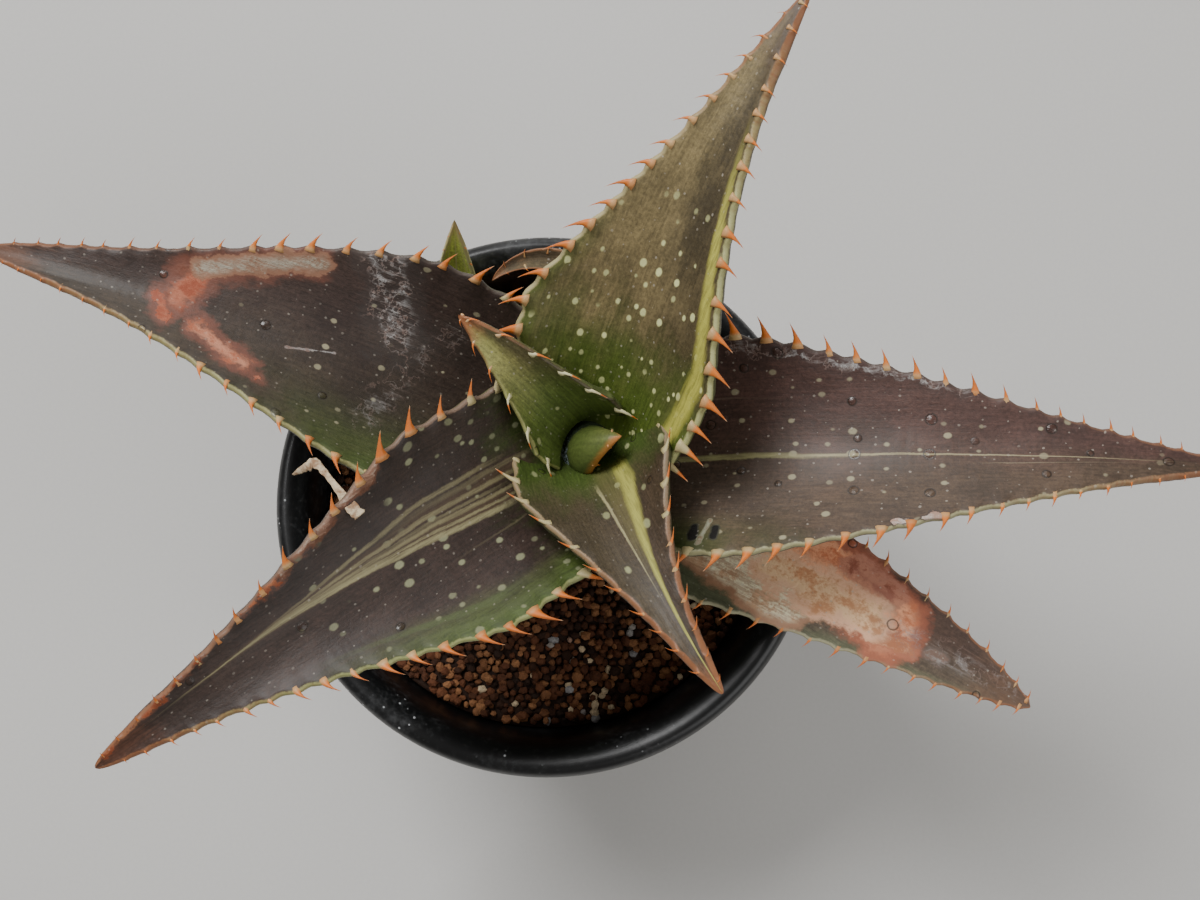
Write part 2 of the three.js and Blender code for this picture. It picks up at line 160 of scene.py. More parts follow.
class Graph:
    """The node tree of a piece's material, with one Principled shader."""

    def __init__(self, piece: bpy.types.Object, name: str, constants: dict[str, float]) -> None:
        """Makes the material.

        Args:
            piece: What it is put on.
            name: The material's name.
            constants: Values set on the shader's own sockets.
        """
        material = bpy.data.materials.new(name)
        material.use_nodes = True
        piece.data.materials.append(material)
        self.tree = material.node_tree
        self.shader = self.tree.nodes["Principled BSDF"]
        for socket, value in constants.items():
            self.shader.inputs[socket].default_value = value

    def node(
        self,
        kind: str,
        settings: dict[str, object],
        inputs: "dict[int | str, Signal | float | Sequence[float]]",
        output: int | str = 0,
    ) -> Signal:
        """Adds a node, sets it, then fills its sockets.

        Args:
            kind: The node's type.
            settings: Its properties, such as a Math node's operation.
            inputs: Values or signals by socket name or place.
            output: Name or place of the socket that is wanted.

        Returns:
            The wanted output.
        """
        node = self.tree.nodes.new(kind)
        for key, value in settings.items():
            setattr(node, key, value)
        for key, value in inputs.items():
            socket = node.inputs[key]
            if isinstance(value, Signal):
                self.tree.links.new(value.socket, socket)
            elif isinstance(value, (int, float)):
                socket.default_value = value
            else:
                padded = (*value, 1.0) if socket.type == "RGBA" and len(value) == 3 else tuple(value)
                socket.default_value = padded
        return Signal(self, node.outputs[output])

    def parts(self, vector: Signal) -> tuple[Signal, Signal, Signal]:
        """Returns a vector's three numbers."""
        split = self.node("ShaderNodeSeparateXYZ", {}, {"Vector": vector})
        x, y, z = (Signal(self, output) for output in split.socket.node.outputs)
        return x, y, z

    def attribute(self, name: str) -> Signal:
        """Returns a vector that the mesh holds under name."""
        return self.node("ShaderNodeAttribute", {"attribute_name": name}, {}, "Vector")

    def number(self, name: str) -> Signal:
        """Returns a number that the mesh holds under name."""
        return self.node("ShaderNodeAttribute", {"attribute_name": name}, {}, "Fac")

    def place(self) -> Signal:
        """Returns the point on the piece, in metres in the shared frame."""
        return self.node("ShaderNodeTexCoord", {}, {}, "Object")

    def vector(self, x: Signal | float, y: Signal | float, z: Signal | float) -> Signal:
        """Returns the vector of three numbers."""
        return self.node("ShaderNodeCombineXYZ", {}, {"X": x, "Y": y, "Z": z})

    def grain(self, at: Signal, scale: float, detail: float = 3.0, roughness: float = 0.55) -> Signal:
        """Returns fractal noise from 0 to 1.

        Args:
            at: Where the noise is read.
            scale: Bumps in a unit of at.
            detail: Octaves.
            roughness: Weight of the finer octaves.
        """
        inputs = {"Vector": at, "Scale": scale, "Detail": detail, "Roughness": roughness}
        return self.node("ShaderNodeTexNoise", {}, inputs, "Fac")

    def mix(self, factor: Signal | float, first: Signal | Colour, second: Signal | Colour) -> Signal:
        """Returns the colour between first and second at factor."""
        settings = {"data_type": "RGBA", "clamp_factor": True}
        return self.node("ShaderNodeMix", settings, {0: factor, 6: first, 7: second}, 2)

    def tint(self, colour: Signal, by: Signal | Colour) -> Signal:
        """Returns colour multiplied by another."""
        settings = {"data_type": "RGBA", "blend_type": "MULTIPLY"}
        return self.node("ShaderNodeMix", settings, {0: 1.0, 6: colour, 7: by}, 2)

    def finish(
        self, colour: Signal, roughness: Signal, height: Signal, depth: float, strength: float
    ) -> None:
        """Joins colour, roughness and relief to the shader.

        Args:
            colour: Base colour.
            roughness: Roughness.
            height: Relief from 0 to 1.
            depth: The relief's depth in metres.
            strength: How much of it shows.
        """
        inputs = {"Height": height, "Distance": depth, "Strength": strength}
        bump = self.node("ShaderNodeBump", {}, inputs)
        for socket, signal in (("Base Color", colour), ("Roughness", roughness), ("Normal", bump)):
            self.tree.links.new(signal.socket, self.shader.inputs[socket])


def make_piece(name: str, bm: bmesh.types.BMesh, sharp: float | None = None) -> bpy.types.Object:
    """Turns a bmesh into a piece of the object.

    Args:
        name: The piece's name.
        bm: Its mesh, in metres in the shared frame. It is freed.
        sharp: Angle in degrees above which an edge looks sharp, or None for a smooth mesh.

    Returns:
        The piece, which rides on the root body.
    """
    mesh = bpy.data.meshes.new(name)
    bm.to_mesh(mesh)
    bm.free()
    mesh.shade_smooth()
    if sharp is not None:
        mesh.set_sharp_from_angle(angle=math.radians(sharp))
    piece = bpy.data.objects.new(name, mesh)
    bpy.context.scene.collection.objects.link(piece)
    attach(piece, "root")
    return piece


def spun(profile: Iterable[tuple[float, float]], steps: int) -> bmesh.types.BMesh:
    """Spins a profile round the vertical axis.

    Args:
        profile: Points (radius, height) in millimetres. The first and the last are on the axis.
        steps: Facets round the axis.

    Returns:
        The closed surface, in metres.
    """
    bm = bmesh.new()
    verts = [bm.verts.new((radius * MM, 0.0, height * MM)) for radius, height in profile]
    edges = [bm.edges.new(pair) for pair in zip(verts, verts[1:])]
    bmesh.ops.spin(
        bm, geom=verts + edges, cent=(0, 0, 0), axis=(0, 0, 1), angle=2 * math.pi, steps=steps, use_merge=True
    )
    bmesh.ops.remove_doubles(bm, verts=bm.verts, dist=1e-6)
    bmesh.ops.recalc_face_normals(bm, faces=bm.faces)
    return bm


def curve_points(
    start: tuple[float, float], pull: tuple[float, float], end: tuple[float, float], count: int
) -> list[tuple[float, float]]:
    """Returns points of a quadratic curve after its start.

    Args:
        start: First point, which isn't repeated.
        pull: Point that bends the curve.
        end: Last point.
        count: Number of points.
    """
    shares = [step / count for step in range(1, count + 1)]
    columns = [[bezier(ends, share) for share in shares] for ends in zip(start, pull, end)]
    return list(zip(*columns))


class Side(Enum):
    """A leaf's margin, as seen from its base with its upper face up."""

    LEFT = 1
    RIGHT = -1


@dataclass(frozen=True)
class LeafForm:
    """Shape of one blade, in millimetres and degrees, in the frame of the growth that carries it."""

    root: Triple
    heading: float
    rise: Triple
    length: float
    half_width: float
    cup: Triple
    thickness: float
    neck: float
    widest: float
    belly: float
    taper: float
    blunt: float
    bend: float = 0.0
    hook: float = 0.0
    roll: float = 0.0
    twist: float = 0.0
    ripple: float = 1.0


@dataclass(frozen=True)
class Teeth:
    """Rule for the marginal teeth: they lean to the leaf's base and get smaller and closer to its tip.

    Places are shares of the leaf's length, sizes are in millimetres, and tip and closest are the shares of
    the full size and spacing that are left at the tip.
    """

    first: float
    scale: float
    seed: int
    lean_left: float = 1.6
    lean_right: float = 1.6
    splay: float = 0.3
    height: float = 4.2
    half_length: float = 1.75
    half_thickness: float = 0.75
    root: float = 1.5
    spacing: float = 6.1
    scatter: float = 0.16
    last: float = 0.985
    tip: float = 0.2
    closest: float = 0.7
    shrink_from: float = 1.5
    shrink_power: float = 0.8
    first_scatter: float = 0.02

    def factor(self, draw: random.Random) -> float:
        """Returns a random factor near 1."""
        return 1 + self.scatter * 2 * (draw.random() - 0.5)


@dataclass(frozen=True)
class Tooth:
    """One tooth: its margin, its place along the leaf and its share of the full size."""

    side: Side
    along: float
    size: float


@dataclass(frozen=True)
class MidribFrame:
    """A place on the midrib with the leaf's directions there."""

    point: Vector
    along: Vector
    side: Vector
    up: Vector


@dataclass(frozen=True)
class ArcPoint:
    """A place on the section's arc, with the directions out of the face, to the margin and to the tip."""

    point: Vector
    out: Vector
    outward: Vector
    along: Vector


class Blade:
    """A leaf's surface as a function of its place along and round the leaf."""

    STEPS = 320
    UPPER = 0.35
    LOWER = 0.65
    TIP_THICKNESS = 0.35
    TIP_ROUNDING = 0.12
    # Depth in millimetres, waves a millimetre across and along, and how far the two faces differ.
    RELIEF = ((0.34, 0.16, 0.07, 1.0), (0.12, 0.9, 0.06, 0.0), (0.07, 0.8, 0.8, 0.0))
    TIP_CALM = 6
    MARGIN_CALM = 5
    MARGIN_POWER = 7
    MARGIN_DIP = 0.28
    MARGIN_SWELL = 1.1
    SWELL_REACH = 3.4

    def __init__(self, form: LeafForm, origin: Triple, teeth: Teeth | None) -> None:
        """Works out the midrib and the teeth.

        Args:
            form: The leaf's shape.
            origin: The growth's origin in the shared frame, in millimetres.
            teeth: The rule for its teeth, or None.
        """
        self.form = form
        self.frames: list[MidribFrame] = []
        point = Vector(form.root) + Vector(origin)
        step = form.length / self.STEPS
        for index in range(self.STEPS + 1):
            share = index / self.STEPS
            along = self._direction(share)
            self.frames.append(self._frame(share, point.copy(), along))
            point += (along + self._direction(min(1.0, share + 1.0 / self.STEPS))) * (step / 2)
        self.teeth = self._place_teeth(teeth) if teeth else []
        self.rule = teeth

    def _heading(self, share: float) -> float:
        """Returns the compass angle at share, in radians."""
        return math.radians(self.form.heading + self.form.bend * share + self.form.hook * share * share)

    def _direction(self, share: float) -> Vector:
        """Returns the midrib's direction at share."""
        rise = math.radians(bezier(self.form.rise, share))
        heading, level = self._heading(share), math.cos(rise)
        return Vector((level * math.cos(heading), level * math.sin(heading), math.sin(rise)))

    def _frame(self, share: float, point: Vector, along: Vector) -> MidribFrame:
        """Returns the midrib's frame at share."""
        heading = self._heading(share)
        roll = math.radians(self.form.roll + self.form.twist * share)
        level = Vector((-math.sin(heading), math.cos(heading), 0.0))
        side = level * math.cos(roll) + along.cross(level) * math.sin(roll)
        return MidribFrame(point, along, side, along.cross(side))

    def frame(self, share: float) -> MidribFrame:
        """Returns the midrib's frame at share, between the worked-out ones."""
        place = clamp01(share) * self.STEPS
        index = min(self.STEPS - 1, int(place))
        rest = place - index
        first, second = self.frames[index], self.frames[index + 1]
        return MidribFrame(
            first.point.lerp(second.point, rest),
            first.along.lerp(second.along, rest).normalized(),
            first.side.lerp(second.side, rest).normalized(),
            first.up.lerp(second.up, rest).normalized(),
        )

    def half_width(self, share: float) -> float:
        """Returns half the leaf's width at share, round its section's arc."""
        form = self.form
        if share < form.widest:
            swell = math.sin(math.pi / 2 * share / form.widest)
            return form.half_width * (form.neck + (1 - form.neck) * swell)
        left = clamp01((share - form.widest) / (1 - form.widest))
        body = (1 - form.blunt) * (1 - left**form.belly) ** form.taper
        return form.half_width * (body + form.blunt * math.sqrt(1 - left))

    def thickness(self, share: float) -> float:
        """Returns the leaf's full thickness at share."""
        body = self.TIP_THICKNESS + (1 - self.TIP_THICKNESS) * (1 - share)
        return self.form.thickness * body * math.sqrt(clamp01((1 - share) / self.TIP_ROUNDING))

    def arc(self, share: float, across: float) -> ArcPoint:
        """Returns a place on the section's arc.

        Args:
            share: Place along the leaf.
            across: Place round the arc, from -1 on the right margin to 1 on the left one.
        """
        frame = self.frame(share)
        half = math.radians(bezier(self.form.cup, share))
        angle = across * half
        reach = self.half_width(share) / half
        over, level = math.sin(angle), math.cos(angle)
        point = frame.point + frame.side * (reach * over) + frame.up * (reach * (1 - level))
        out = frame.up * level - frame.side * over
        return ArcPoint(point, out, frame.side * level + frame.up * over, frame.along)

    def _place_teeth(self, rule: Teeth) -> list[Tooth]:
        """Returns the teeth of both margins."""
        draw = random.Random(rule.seed)
        placed = []
        for side in (Side.RIGHT, Side.LEFT):
            share = rule.first + rule.first_scatter * draw.random()
            while share < rule.last:
                left = min(1.0, rule.shrink_from * (1 - share)) ** rule.shrink_power
                size = rule.scale * (rule.tip + (1 - rule.tip) * left)
                placed.append(Tooth(side, share, size * rule.factor(draw)))
                spacing = rule.spacing * (rule.closest + (1 - rule.closest) * left)
                share += spacing / self.form.length * rule.factor(draw)
        return placed

    def margin_offset(self, share: float, across: float) -> float:
        """Returns how far the margin stands out at share: it swells into each tooth and dips between them."""
        offset = -self.MARGIN_DIP if self.teeth else 0.0
        for tooth in self.teeth:
            if tooth.side.value * across <= 0:
                continue
            gap = abs(share - tooth.along) * self.form.length / (self.SWELL_REACH * tooth.size)
            if gap < 1.0:
                offset = max(offset, self.MARGIN_SWELL * tooth.size * (1 - smooth01(gap)) - self.MARGIN_DIP)
        return offset

    def surface(self, share: float, turn: float) -> tuple[Vector, float, float]:
        """Returns a place on the blade's skin.

        Args:
            share: Place along the leaf.
            turn: Angle round the section, from the left margin over the upper face.

        Returns:
            The point in millimetres, its place across from -1 to 1 and its height from -1 below to 1 above.
        """
        across, height = math.cos(turn), math.sin(turn)
        arc = self.arc(share, across)
        offset = height * self.thickness(share) * (self.UPPER if height > 0 else self.LOWER)
        wide, far = across * self.half_width(share), share * self.form.length
        seed = self.form.heading
        relief = sum(
            depth * noise.noise(Vector((wide * over, far * on, seed + height * differ)))
            for depth, over, on, differ in self.RELIEF
        )
        calm = smooth01((1 - share) * self.TIP_CALM) * smooth01((1 - abs(across)) * self.MARGIN_CALM)
        point = arc.point + arc.out * (offset + relief * calm * self.form.ripple)
        edge = abs(across) ** self.MARGIN_POWER
        point += arc.outward * (math.copysign(1.0, across) * self.margin_offset(share, across) * edge)
        return point, across, height


@dataclass(frozen=True)
class Streak:
    """A pale line along a leaf. Places and widths are shares of the leaf's half width and length."""

    across: float
    half: float
    start: float
    end: float
    colour: Colour
    drift: float = 0.0
    bow: float = 0.0
    strength: float = 0.8


class Crust(Enum):
    """How a patch covers the skin."""

    SOLID = "solid"
    STRIATED = "striated"
    SCRIBBLED = "scribbled"


@dataclass(frozen=True)
class Scar:
    """A patch round a line between two places, each a share of the leaf's half width and length.

    Its radius, its rim and the raggedness of its edge are in millimetres.
    """

    start: tuple[float, float]
    end: tuple[float, float]
    radius: float
    colour: Colour
    rim: Colour
    rim_width: float = 1.5
    ragged: float = 1.6
    strength: float = 1.0
    crust: Crust = Crust.SOLID


@dataclass(frozen=True)
class Spots:
    """Round marks on a leaf, with their spacing and size in millimetres. They thin out towards end."""

    colour: Colour
    cell: float
    size: float
    share: float
    end: float
    strength: float = 0.9


@dataclass(frozen=True)
class Rim:
    """The horny line along one margin, with its width in millimetres."""

    colour: Colour
    width: float = 0.5
    strength: float = 0.9


class Pattern(Enum):
    """Noise over a leaf: waves a millimetre across and along it, its shift, detail and roughness."""

    FIBRE = (2.1, 0.16, 0.0, 4.0, 0.6)
    BLOTCH = (0.13, 0.08, 9.0, 4.0, 0.55)
    FLECK = (1.7, 1.4, 4.0, 4.0, 0.65)
    LUMPS = (0.3, 0.22, 2.0, 4.0, 0.6)
    CURLS = (0.3, 0.3, 0.0, 5.0, 0.55)

    def over(self, graph: Graph, wide: Signal, far: Signal, seed: float) -> Signal:
        """Returns the noise, from 0 to 1.

        Args:
            graph: The material.
            wide: Millimetres from the midrib.
            far: Millimetres from the leaf's base.
            seed: Moves the noise.
        """
        across, along, shift, detail, roughness = self.value
        return graph.grain(graph.vector(wide * across, far * along, seed + shift), 1.0, detail, roughness)


@dataclass(frozen=True)
class Skin:
    """Signals that every layer of a leaf's skin reads."""

    across: Signal
    along: Signal
    side: Signal
    wide: Signal
    far: Signal
    rim: Signal
    upper: Signal
    fibre: Signal
    blotch: Signal
    fleck: Signal
    seed: float

    def cells(self, graph: Graph, cell: float, stretch: float, shift: float) -> tuple[Signal, ...]:
        """Returns the distance in millimetres to the nearest of scattered places, and three draws for it.

        Args:
            graph: The material.
            cell: Mean spacing in millimetres.
            stretch: Length of a round mark over its width.
            shift: Moves the places.
        """
        wobble = (self.fleck - 0.5) * 0.35
        wide, far = (self.wide + wobble) * (1.0 / cell), (self.far + wobble) * (1.0 / cell / stretch)
        at = graph.vector(wide, far, self.seed + shift)
        settings = {"voronoi_dimensions": "2D", "feature": "F1"}
        distance = graph.node("ShaderNodeTexVoronoi", settings, {"Vector": at, "Scale": 1.0})
        draws = graph.parts(Signal(graph, distance.socket.node.outputs["Color"]))
        return (distance * cell, *draws)


@dataclass(frozen=True)
class LeafFinish:
    """Colours and marks of a leaf's skin."""

    slot: str
    heart: Colour
    outer_left: Colour
    outer_right: Colour
    tip: Colour
    under: Colour
    green_start: float
    green_end: float
    spots: Spots
    lighter: float = 1.75
    edge_green: tuple[int, float, float] = (0, 0.0, 0.0)
    streaks: tuple[Streak, ...] = ()
    scars: tuple[Scar, ...] = ()
    left_rim: Rim = Rim((0.42, 0.42, 0.21))
    right_rim: Rim = Rim((0.42, 0.42, 0.21))
    rim_tip: Colour = (0.30, 0.12, 0.05)
    rim_turn: float = 0.8
    dust: float = 0.5
    drops: float = 0.12
    foot_start: float = 0.1
    foot_end: float = 0.3
    tooth: Colour = (0.74, 0.20, 0.03)
    tooth_base: Colour = (0.52, 0.44, 0.22)
    tooth_tip: Colour = (0.82, 0.52, 0.30)
    roughness: float = 0.46

    def dress(self, piece: bpy.types.Object, seed: float, form: LeafForm) -> None:
        """Gives the skin to a leaf.

        Args:
            piece: The leaf, with the attributes of LeafPiece.
            seed: Moves the random marks.
            form: The leaf's shape.
        """
        constants = {"Coat Weight": 0.1, "Coat Roughness": 0.3, "Specular IOR Level": 0.42}
        graph = Graph(piece, f"{piece.name}_skin", constants)
        across, along, side = graph.parts(graph.attribute("leaf_share"))
        wide, far, rim = graph.parts(graph.attribute("leaf_size"))
        skin = Skin(
            across, along, side, wide, far, rim, upper=side.rise(-0.15, 0.1),
            fibre=Pattern.FIBRE.over(graph, wide, far, seed),
            blotch=Pattern.BLOTCH.over(graph, wide, far, seed),
            fleck=Pattern.FLECK.over(graph, wide, far, seed), seed=seed,
        )
        colour = self._ground(graph, skin)
        colour, spots = self._spotted(graph, colour, skin)
        colour = self._streaked(graph, colour, skin)
        colour = self._edged(graph, colour, skin)
        colour, scarred = self._scarred(graph, colour, skin, form)
        colour = self._dusty(graph, colour, skin)
        colour, dome, drop = self._dropped(graph, colour, skin)
        colour = self._toothed(graph, colour, skin)
        roughness = (self.roughness + skin.fleck * 0.2 + scarred * 0.25) * (1.0 - drop * 0.6)
        height = skin.fibre * 0.3 + skin.fleck * 0.5 + spots * 0.14 + scarred * skin.fleck * 1.1 + dome * 1.2
        graph.finish(colour, roughness, height, 0.0004, 0.5)

    def _ground(self, graph: Graph, skin: Skin) -> Signal:
        """Returns the green of the base and the brown of the rest, with fibres and blotches."""
        reach = skin.along + (skin.blotch - 0.5) * 0.34 + (skin.fibre - 0.5) * 0.12
        green = reach.fall(self.green_start, self.green_end)
        edge, width, end = self.edge_green
        if edge:
            band = (skin.across * float(edge) + (skin.blotch - 0.5) * 0.4).rise(1.0 - width, 1.02)
            green = green.most(band * reach.fall(end - 0.2, end + 0.1) * 0.9)
        sides = (skin.across + (skin.blotch - 0.5) * 0.8).rise(-0.55, 0.55)
        outer = graph.mix(sides, self.outer_right, self.outer_left)
        light = (skin.blotch * 0.8 + skin.fibre * 0.35 + skin.fleck * 0.35).rise(0.55, 1.0)
        outer = graph.mix(light, outer, graph.tint(outer, (self.lighter, self.lighter, self.lighter)))
        outer = graph.mix(reach.rise(0.84, 1.02), outer, self.tip)
        leafy = (skin.fibre * 0.5 + skin.blotch * 0.5).rise(0.3, 0.7)
        heart = graph.mix(leafy, self.heart, tuple(min(1.0, part * 1.7) for part in self.heart))
        colour = graph.mix(green, outer, heart)
        below = graph.mix(reach.rise(self.green_start, self.green_end + 0.35), self.under, outer)
        colour = graph.mix(skin.upper, below, colour)
        shade = (skin.fibre * 0.35 + skin.fleck * 0.65).rise(0.25, 0.75)
        return graph.tint(colour, graph.mix(shade, SHADE_DARK, SHADE_LIGHT))

    def _spotted(self, graph: Graph, colour: Signal, skin: Skin) -> tuple[Signal, Signal]:
        """Returns the colour with the pale spots, and where they are."""
        marks = self.spots
        distance, size, chance, tone = skin.cells(graph, marks.cell, 1.25, 1.0)
        radius = marks.size * (0.45 + size * 0.75)
        body = (distance - radius).fall(-0.3 * marks.size, 0.3 * marks.size)
        rarer = chance + skin.along * (marks.share / marks.end) * 0.8
        there = rarer.fall(marks.share - 0.02, marks.share + 0.02)
        reach = skin.along.fall(marks.end - 0.15, marks.end + 0.1) * skin.upper
        mask = body * there * reach * (0.45 + tone * 0.55) * marks.strength
        return graph.mix(mask, colour, marks.colour), mask

    def _streaked(self, graph: Graph, colour: Signal, skin: Skin) -> Signal:
        """Returns the colour with the pale lines along the leaf."""
        wander = (skin.blotch - 0.5) * 0.06 + (skin.fleck - 0.5) * 0.02
        for streak in self.streaks:
            line = skin.along * streak.drift + skin.along * skin.along * streak.bow + streak.across
            off = abs(skin.across - line + wander)
            body = (off + (skin.fibre - 0.5) * streak.half * 1.2).fall(streak.half * 0.35, streak.half * 1.1)
            reach = (skin.along + (skin.fleck - 0.5) * 0.05).rise(streak.start - 0.03, streak.start + 0.05)
            reach = reach * skin.along.fall(streak.end - 0.25, streak.end)
            broken = 0.5 + 0.5 * skin.fibre.rise(0.3, 0.6)
            mask = body * reach * skin.upper * broken * streak.strength
            colour = graph.mix(mask, colour, streak.colour)
        return colour

    def _edged(self, graph: Graph, colour: Signal, skin: Skin) -> Signal:
        """Returns the colour with the horny lines along the margins."""
        for rim, sign in ((self.left_rim, 1.0), (self.right_rim, -1.0)):
            line = (skin.rim + (skin.fleck - 0.5) * 0.8).fall(rim.width * 0.3, rim.width * 1.2)
            line = line * (skin.across * sign).rise(0.0, 0.1) * rim.strength
            turn = (skin.along + (skin.fleck - 0.5) * 0.3).rise(self.rim_turn - 0.25, self.rim_turn + 0.15)
            colour = graph.mix(line, colour, graph.mix(turn, rim.colour, self.rim_tip))
        return colour

    def _scarred(self, graph: Graph, colour: Signal, skin: Skin, form: LeafForm) -> tuple[Signal, Signal]:
        """Returns the colour with its scars, and where they are."""
        scarred = skin.side * 0.0
        if not self.scars:
            return colour, scarred
        blade = Blade(form, (0.0, 0.0, 0.0), None)
        lumps = Pattern.LUMPS.over(graph, skin.wide, skin.far, skin.seed)
        warp = (lumps - 0.5) * 6.0 + (skin.blotch - 0.5) * 3.0 + (skin.fleck - 0.5) * 1.5
        # Patches at a scar's full colour among duller, darker ones: partly the crust's own mottling, partly
        # painted highlights for the gloss of wet scars.
        mottle_and_highlight = (skin.fleck * 0.3 + lumps * 0.7).rise(0.42, 0.58)
        covers = {}
        if any(scar.crust is Crust.STRIATED for scar in self.scars):
            strands = (skin.fibre * 0.7 + skin.fleck * 0.3).rise(0.42, 0.56)
            covers[Crust.STRIATED] = 0.42 + 0.58 * strands
        if any(scar.crust is Crust.SCRIBBLED for scar in self.scars):
            curls = Pattern.CURLS.over(graph, skin.wide, skin.far, skin.seed)
            smear = (lumps * 0.6 + skin.fibre * 0.4).rise(0.47, 0.62)
            covers[Crust.SCRIBBLED] = abs(curls - 0.5).fall(0.004, 0.03) * 0.6 + smear * 0.65
        for scar in self.scars:
            off = scar_distance(skin, scar, blade) + warp * scar.ragged
            edge = min(2.2, scar.radius * (0.7 if scar.radius > 2.0 else 0.35))
            body = off.fall(scar.radius - edge, scar.radius) * skin.upper * scar.strength
            rim = off.fall(scar.radius, scar.radius + scar.rim_width) * skin.upper * scar.strength * 0.9
            if scar.crust in covers:
                body = body * covers[scar.crust]
            if scar.crust is Crust.SCRIBBLED:
                rim = rim * 0.3
            colour = graph.mix(rim, colour, scar.rim)
            dull = (scar.colour[0] * 0.7, scar.colour[1] * 0.48, scar.colour[2] * 0.4)
            colour = graph.mix(body, colour, graph.mix(mottle_and_highlight, dull, scar.colour))
            scarred = scarred.most(body)
        return colour, scarred

    def _dusty(self, graph: Graph, colour: Signal, skin: Skin) -> Signal:
        """Returns the colour with tiny pale specks."""
        distance, size, chance, tone = skin.cells(graph, 2.1, 1.1, 5.0)
        mask = (distance - size * 0.2).fall(0.0, 0.12) * chance.fall(0.38, 0.42) * (0.3 + tone * 0.7)
        return graph.mix(mask * self.dust * skin.upper, colour, DUST)

    def _dropped(self, graph: Graph, colour: Signal, skin: Skin) -> tuple[Signal, Signal, Signal]:
        """Returns the colour with a painted dark shade round the edge of each small water drop, the drops'
        domes and where they are.
        """
        distance, size, chance, _ = skin.cells(graph, 7.5, 1.0, 8.0)
        radius = 0.6 + size * 0.55
        there = chance.fall(self.drops - 0.01, self.drops + 0.01) * skin.upper
        over = distance * (1.0 / 0.9)
        dome = (1.0 - over * over).most(0.0) * there
        # Painted shade: a dark ring round each drop stands in for the dark edge that a clear water drop
        # shows.
        ring = abs(distance - radius).fall(0.06, 0.26) * there
        inside = (distance - radius).fall(-0.05, 0.05) * there
        return graph.mix(ring * 0.75, colour, DROP_EDGE_SHADE), dome, inside

    def _toothed(self, graph: Graph, colour: Signal, skin: Skin) -> Signal:
        """Returns the colour with cream, orange and pale translucent tips up the teeth."""
        tooth = graph.number("leaf_tooth")
        foot = skin.along.fall(self.foot_start, self.foot_end) * 0.55
        up = tooth - foot + (skin.fleck - 0.5) * 0.2
        spike = graph.mix(up.rise(-0.02, 0.13), self.tooth_base, self.tooth)
        deep = (skin.fleck + tooth * 0.4).rise(0.5, 0.8)
        spike = graph.mix(deep * 0.5, spike, graph.tint(spike, TOOTH_SHADE))
        spike = graph.mix(tooth.rise(0.8, 1.0), spike, self.tooth_tip)
        return graph.mix(tooth.rise(0.01, 0.04), colour, spike)


def scar_distance(skin: Skin, scar: Scar, blade: Blade) -> Signal:
    """Returns the distance in millimetres to the line of a scar.

    Args:
        skin: The leaf's signals.
        scar: The scar.
        blade: The leaf's shape.
    """
    ends = [Vector((u * blade.half_width(s), s * blade.form.length)) for u, s in (scar.start, scar.end)]
    run = ends[1] - ends[0]
    wide, far = skin.wide - ends[0].x, skin.far - ends[0].y
    if run.length < 1e-6:
        return (wide * wide + far * far).root()
    unit = run / run.length_squared
    share = (wide * unit.x + far * unit.y).most(0.0).least(1.0)
    over, past = wide - share * run.x, far - share * run.y
    return (over * over + past * past).root()


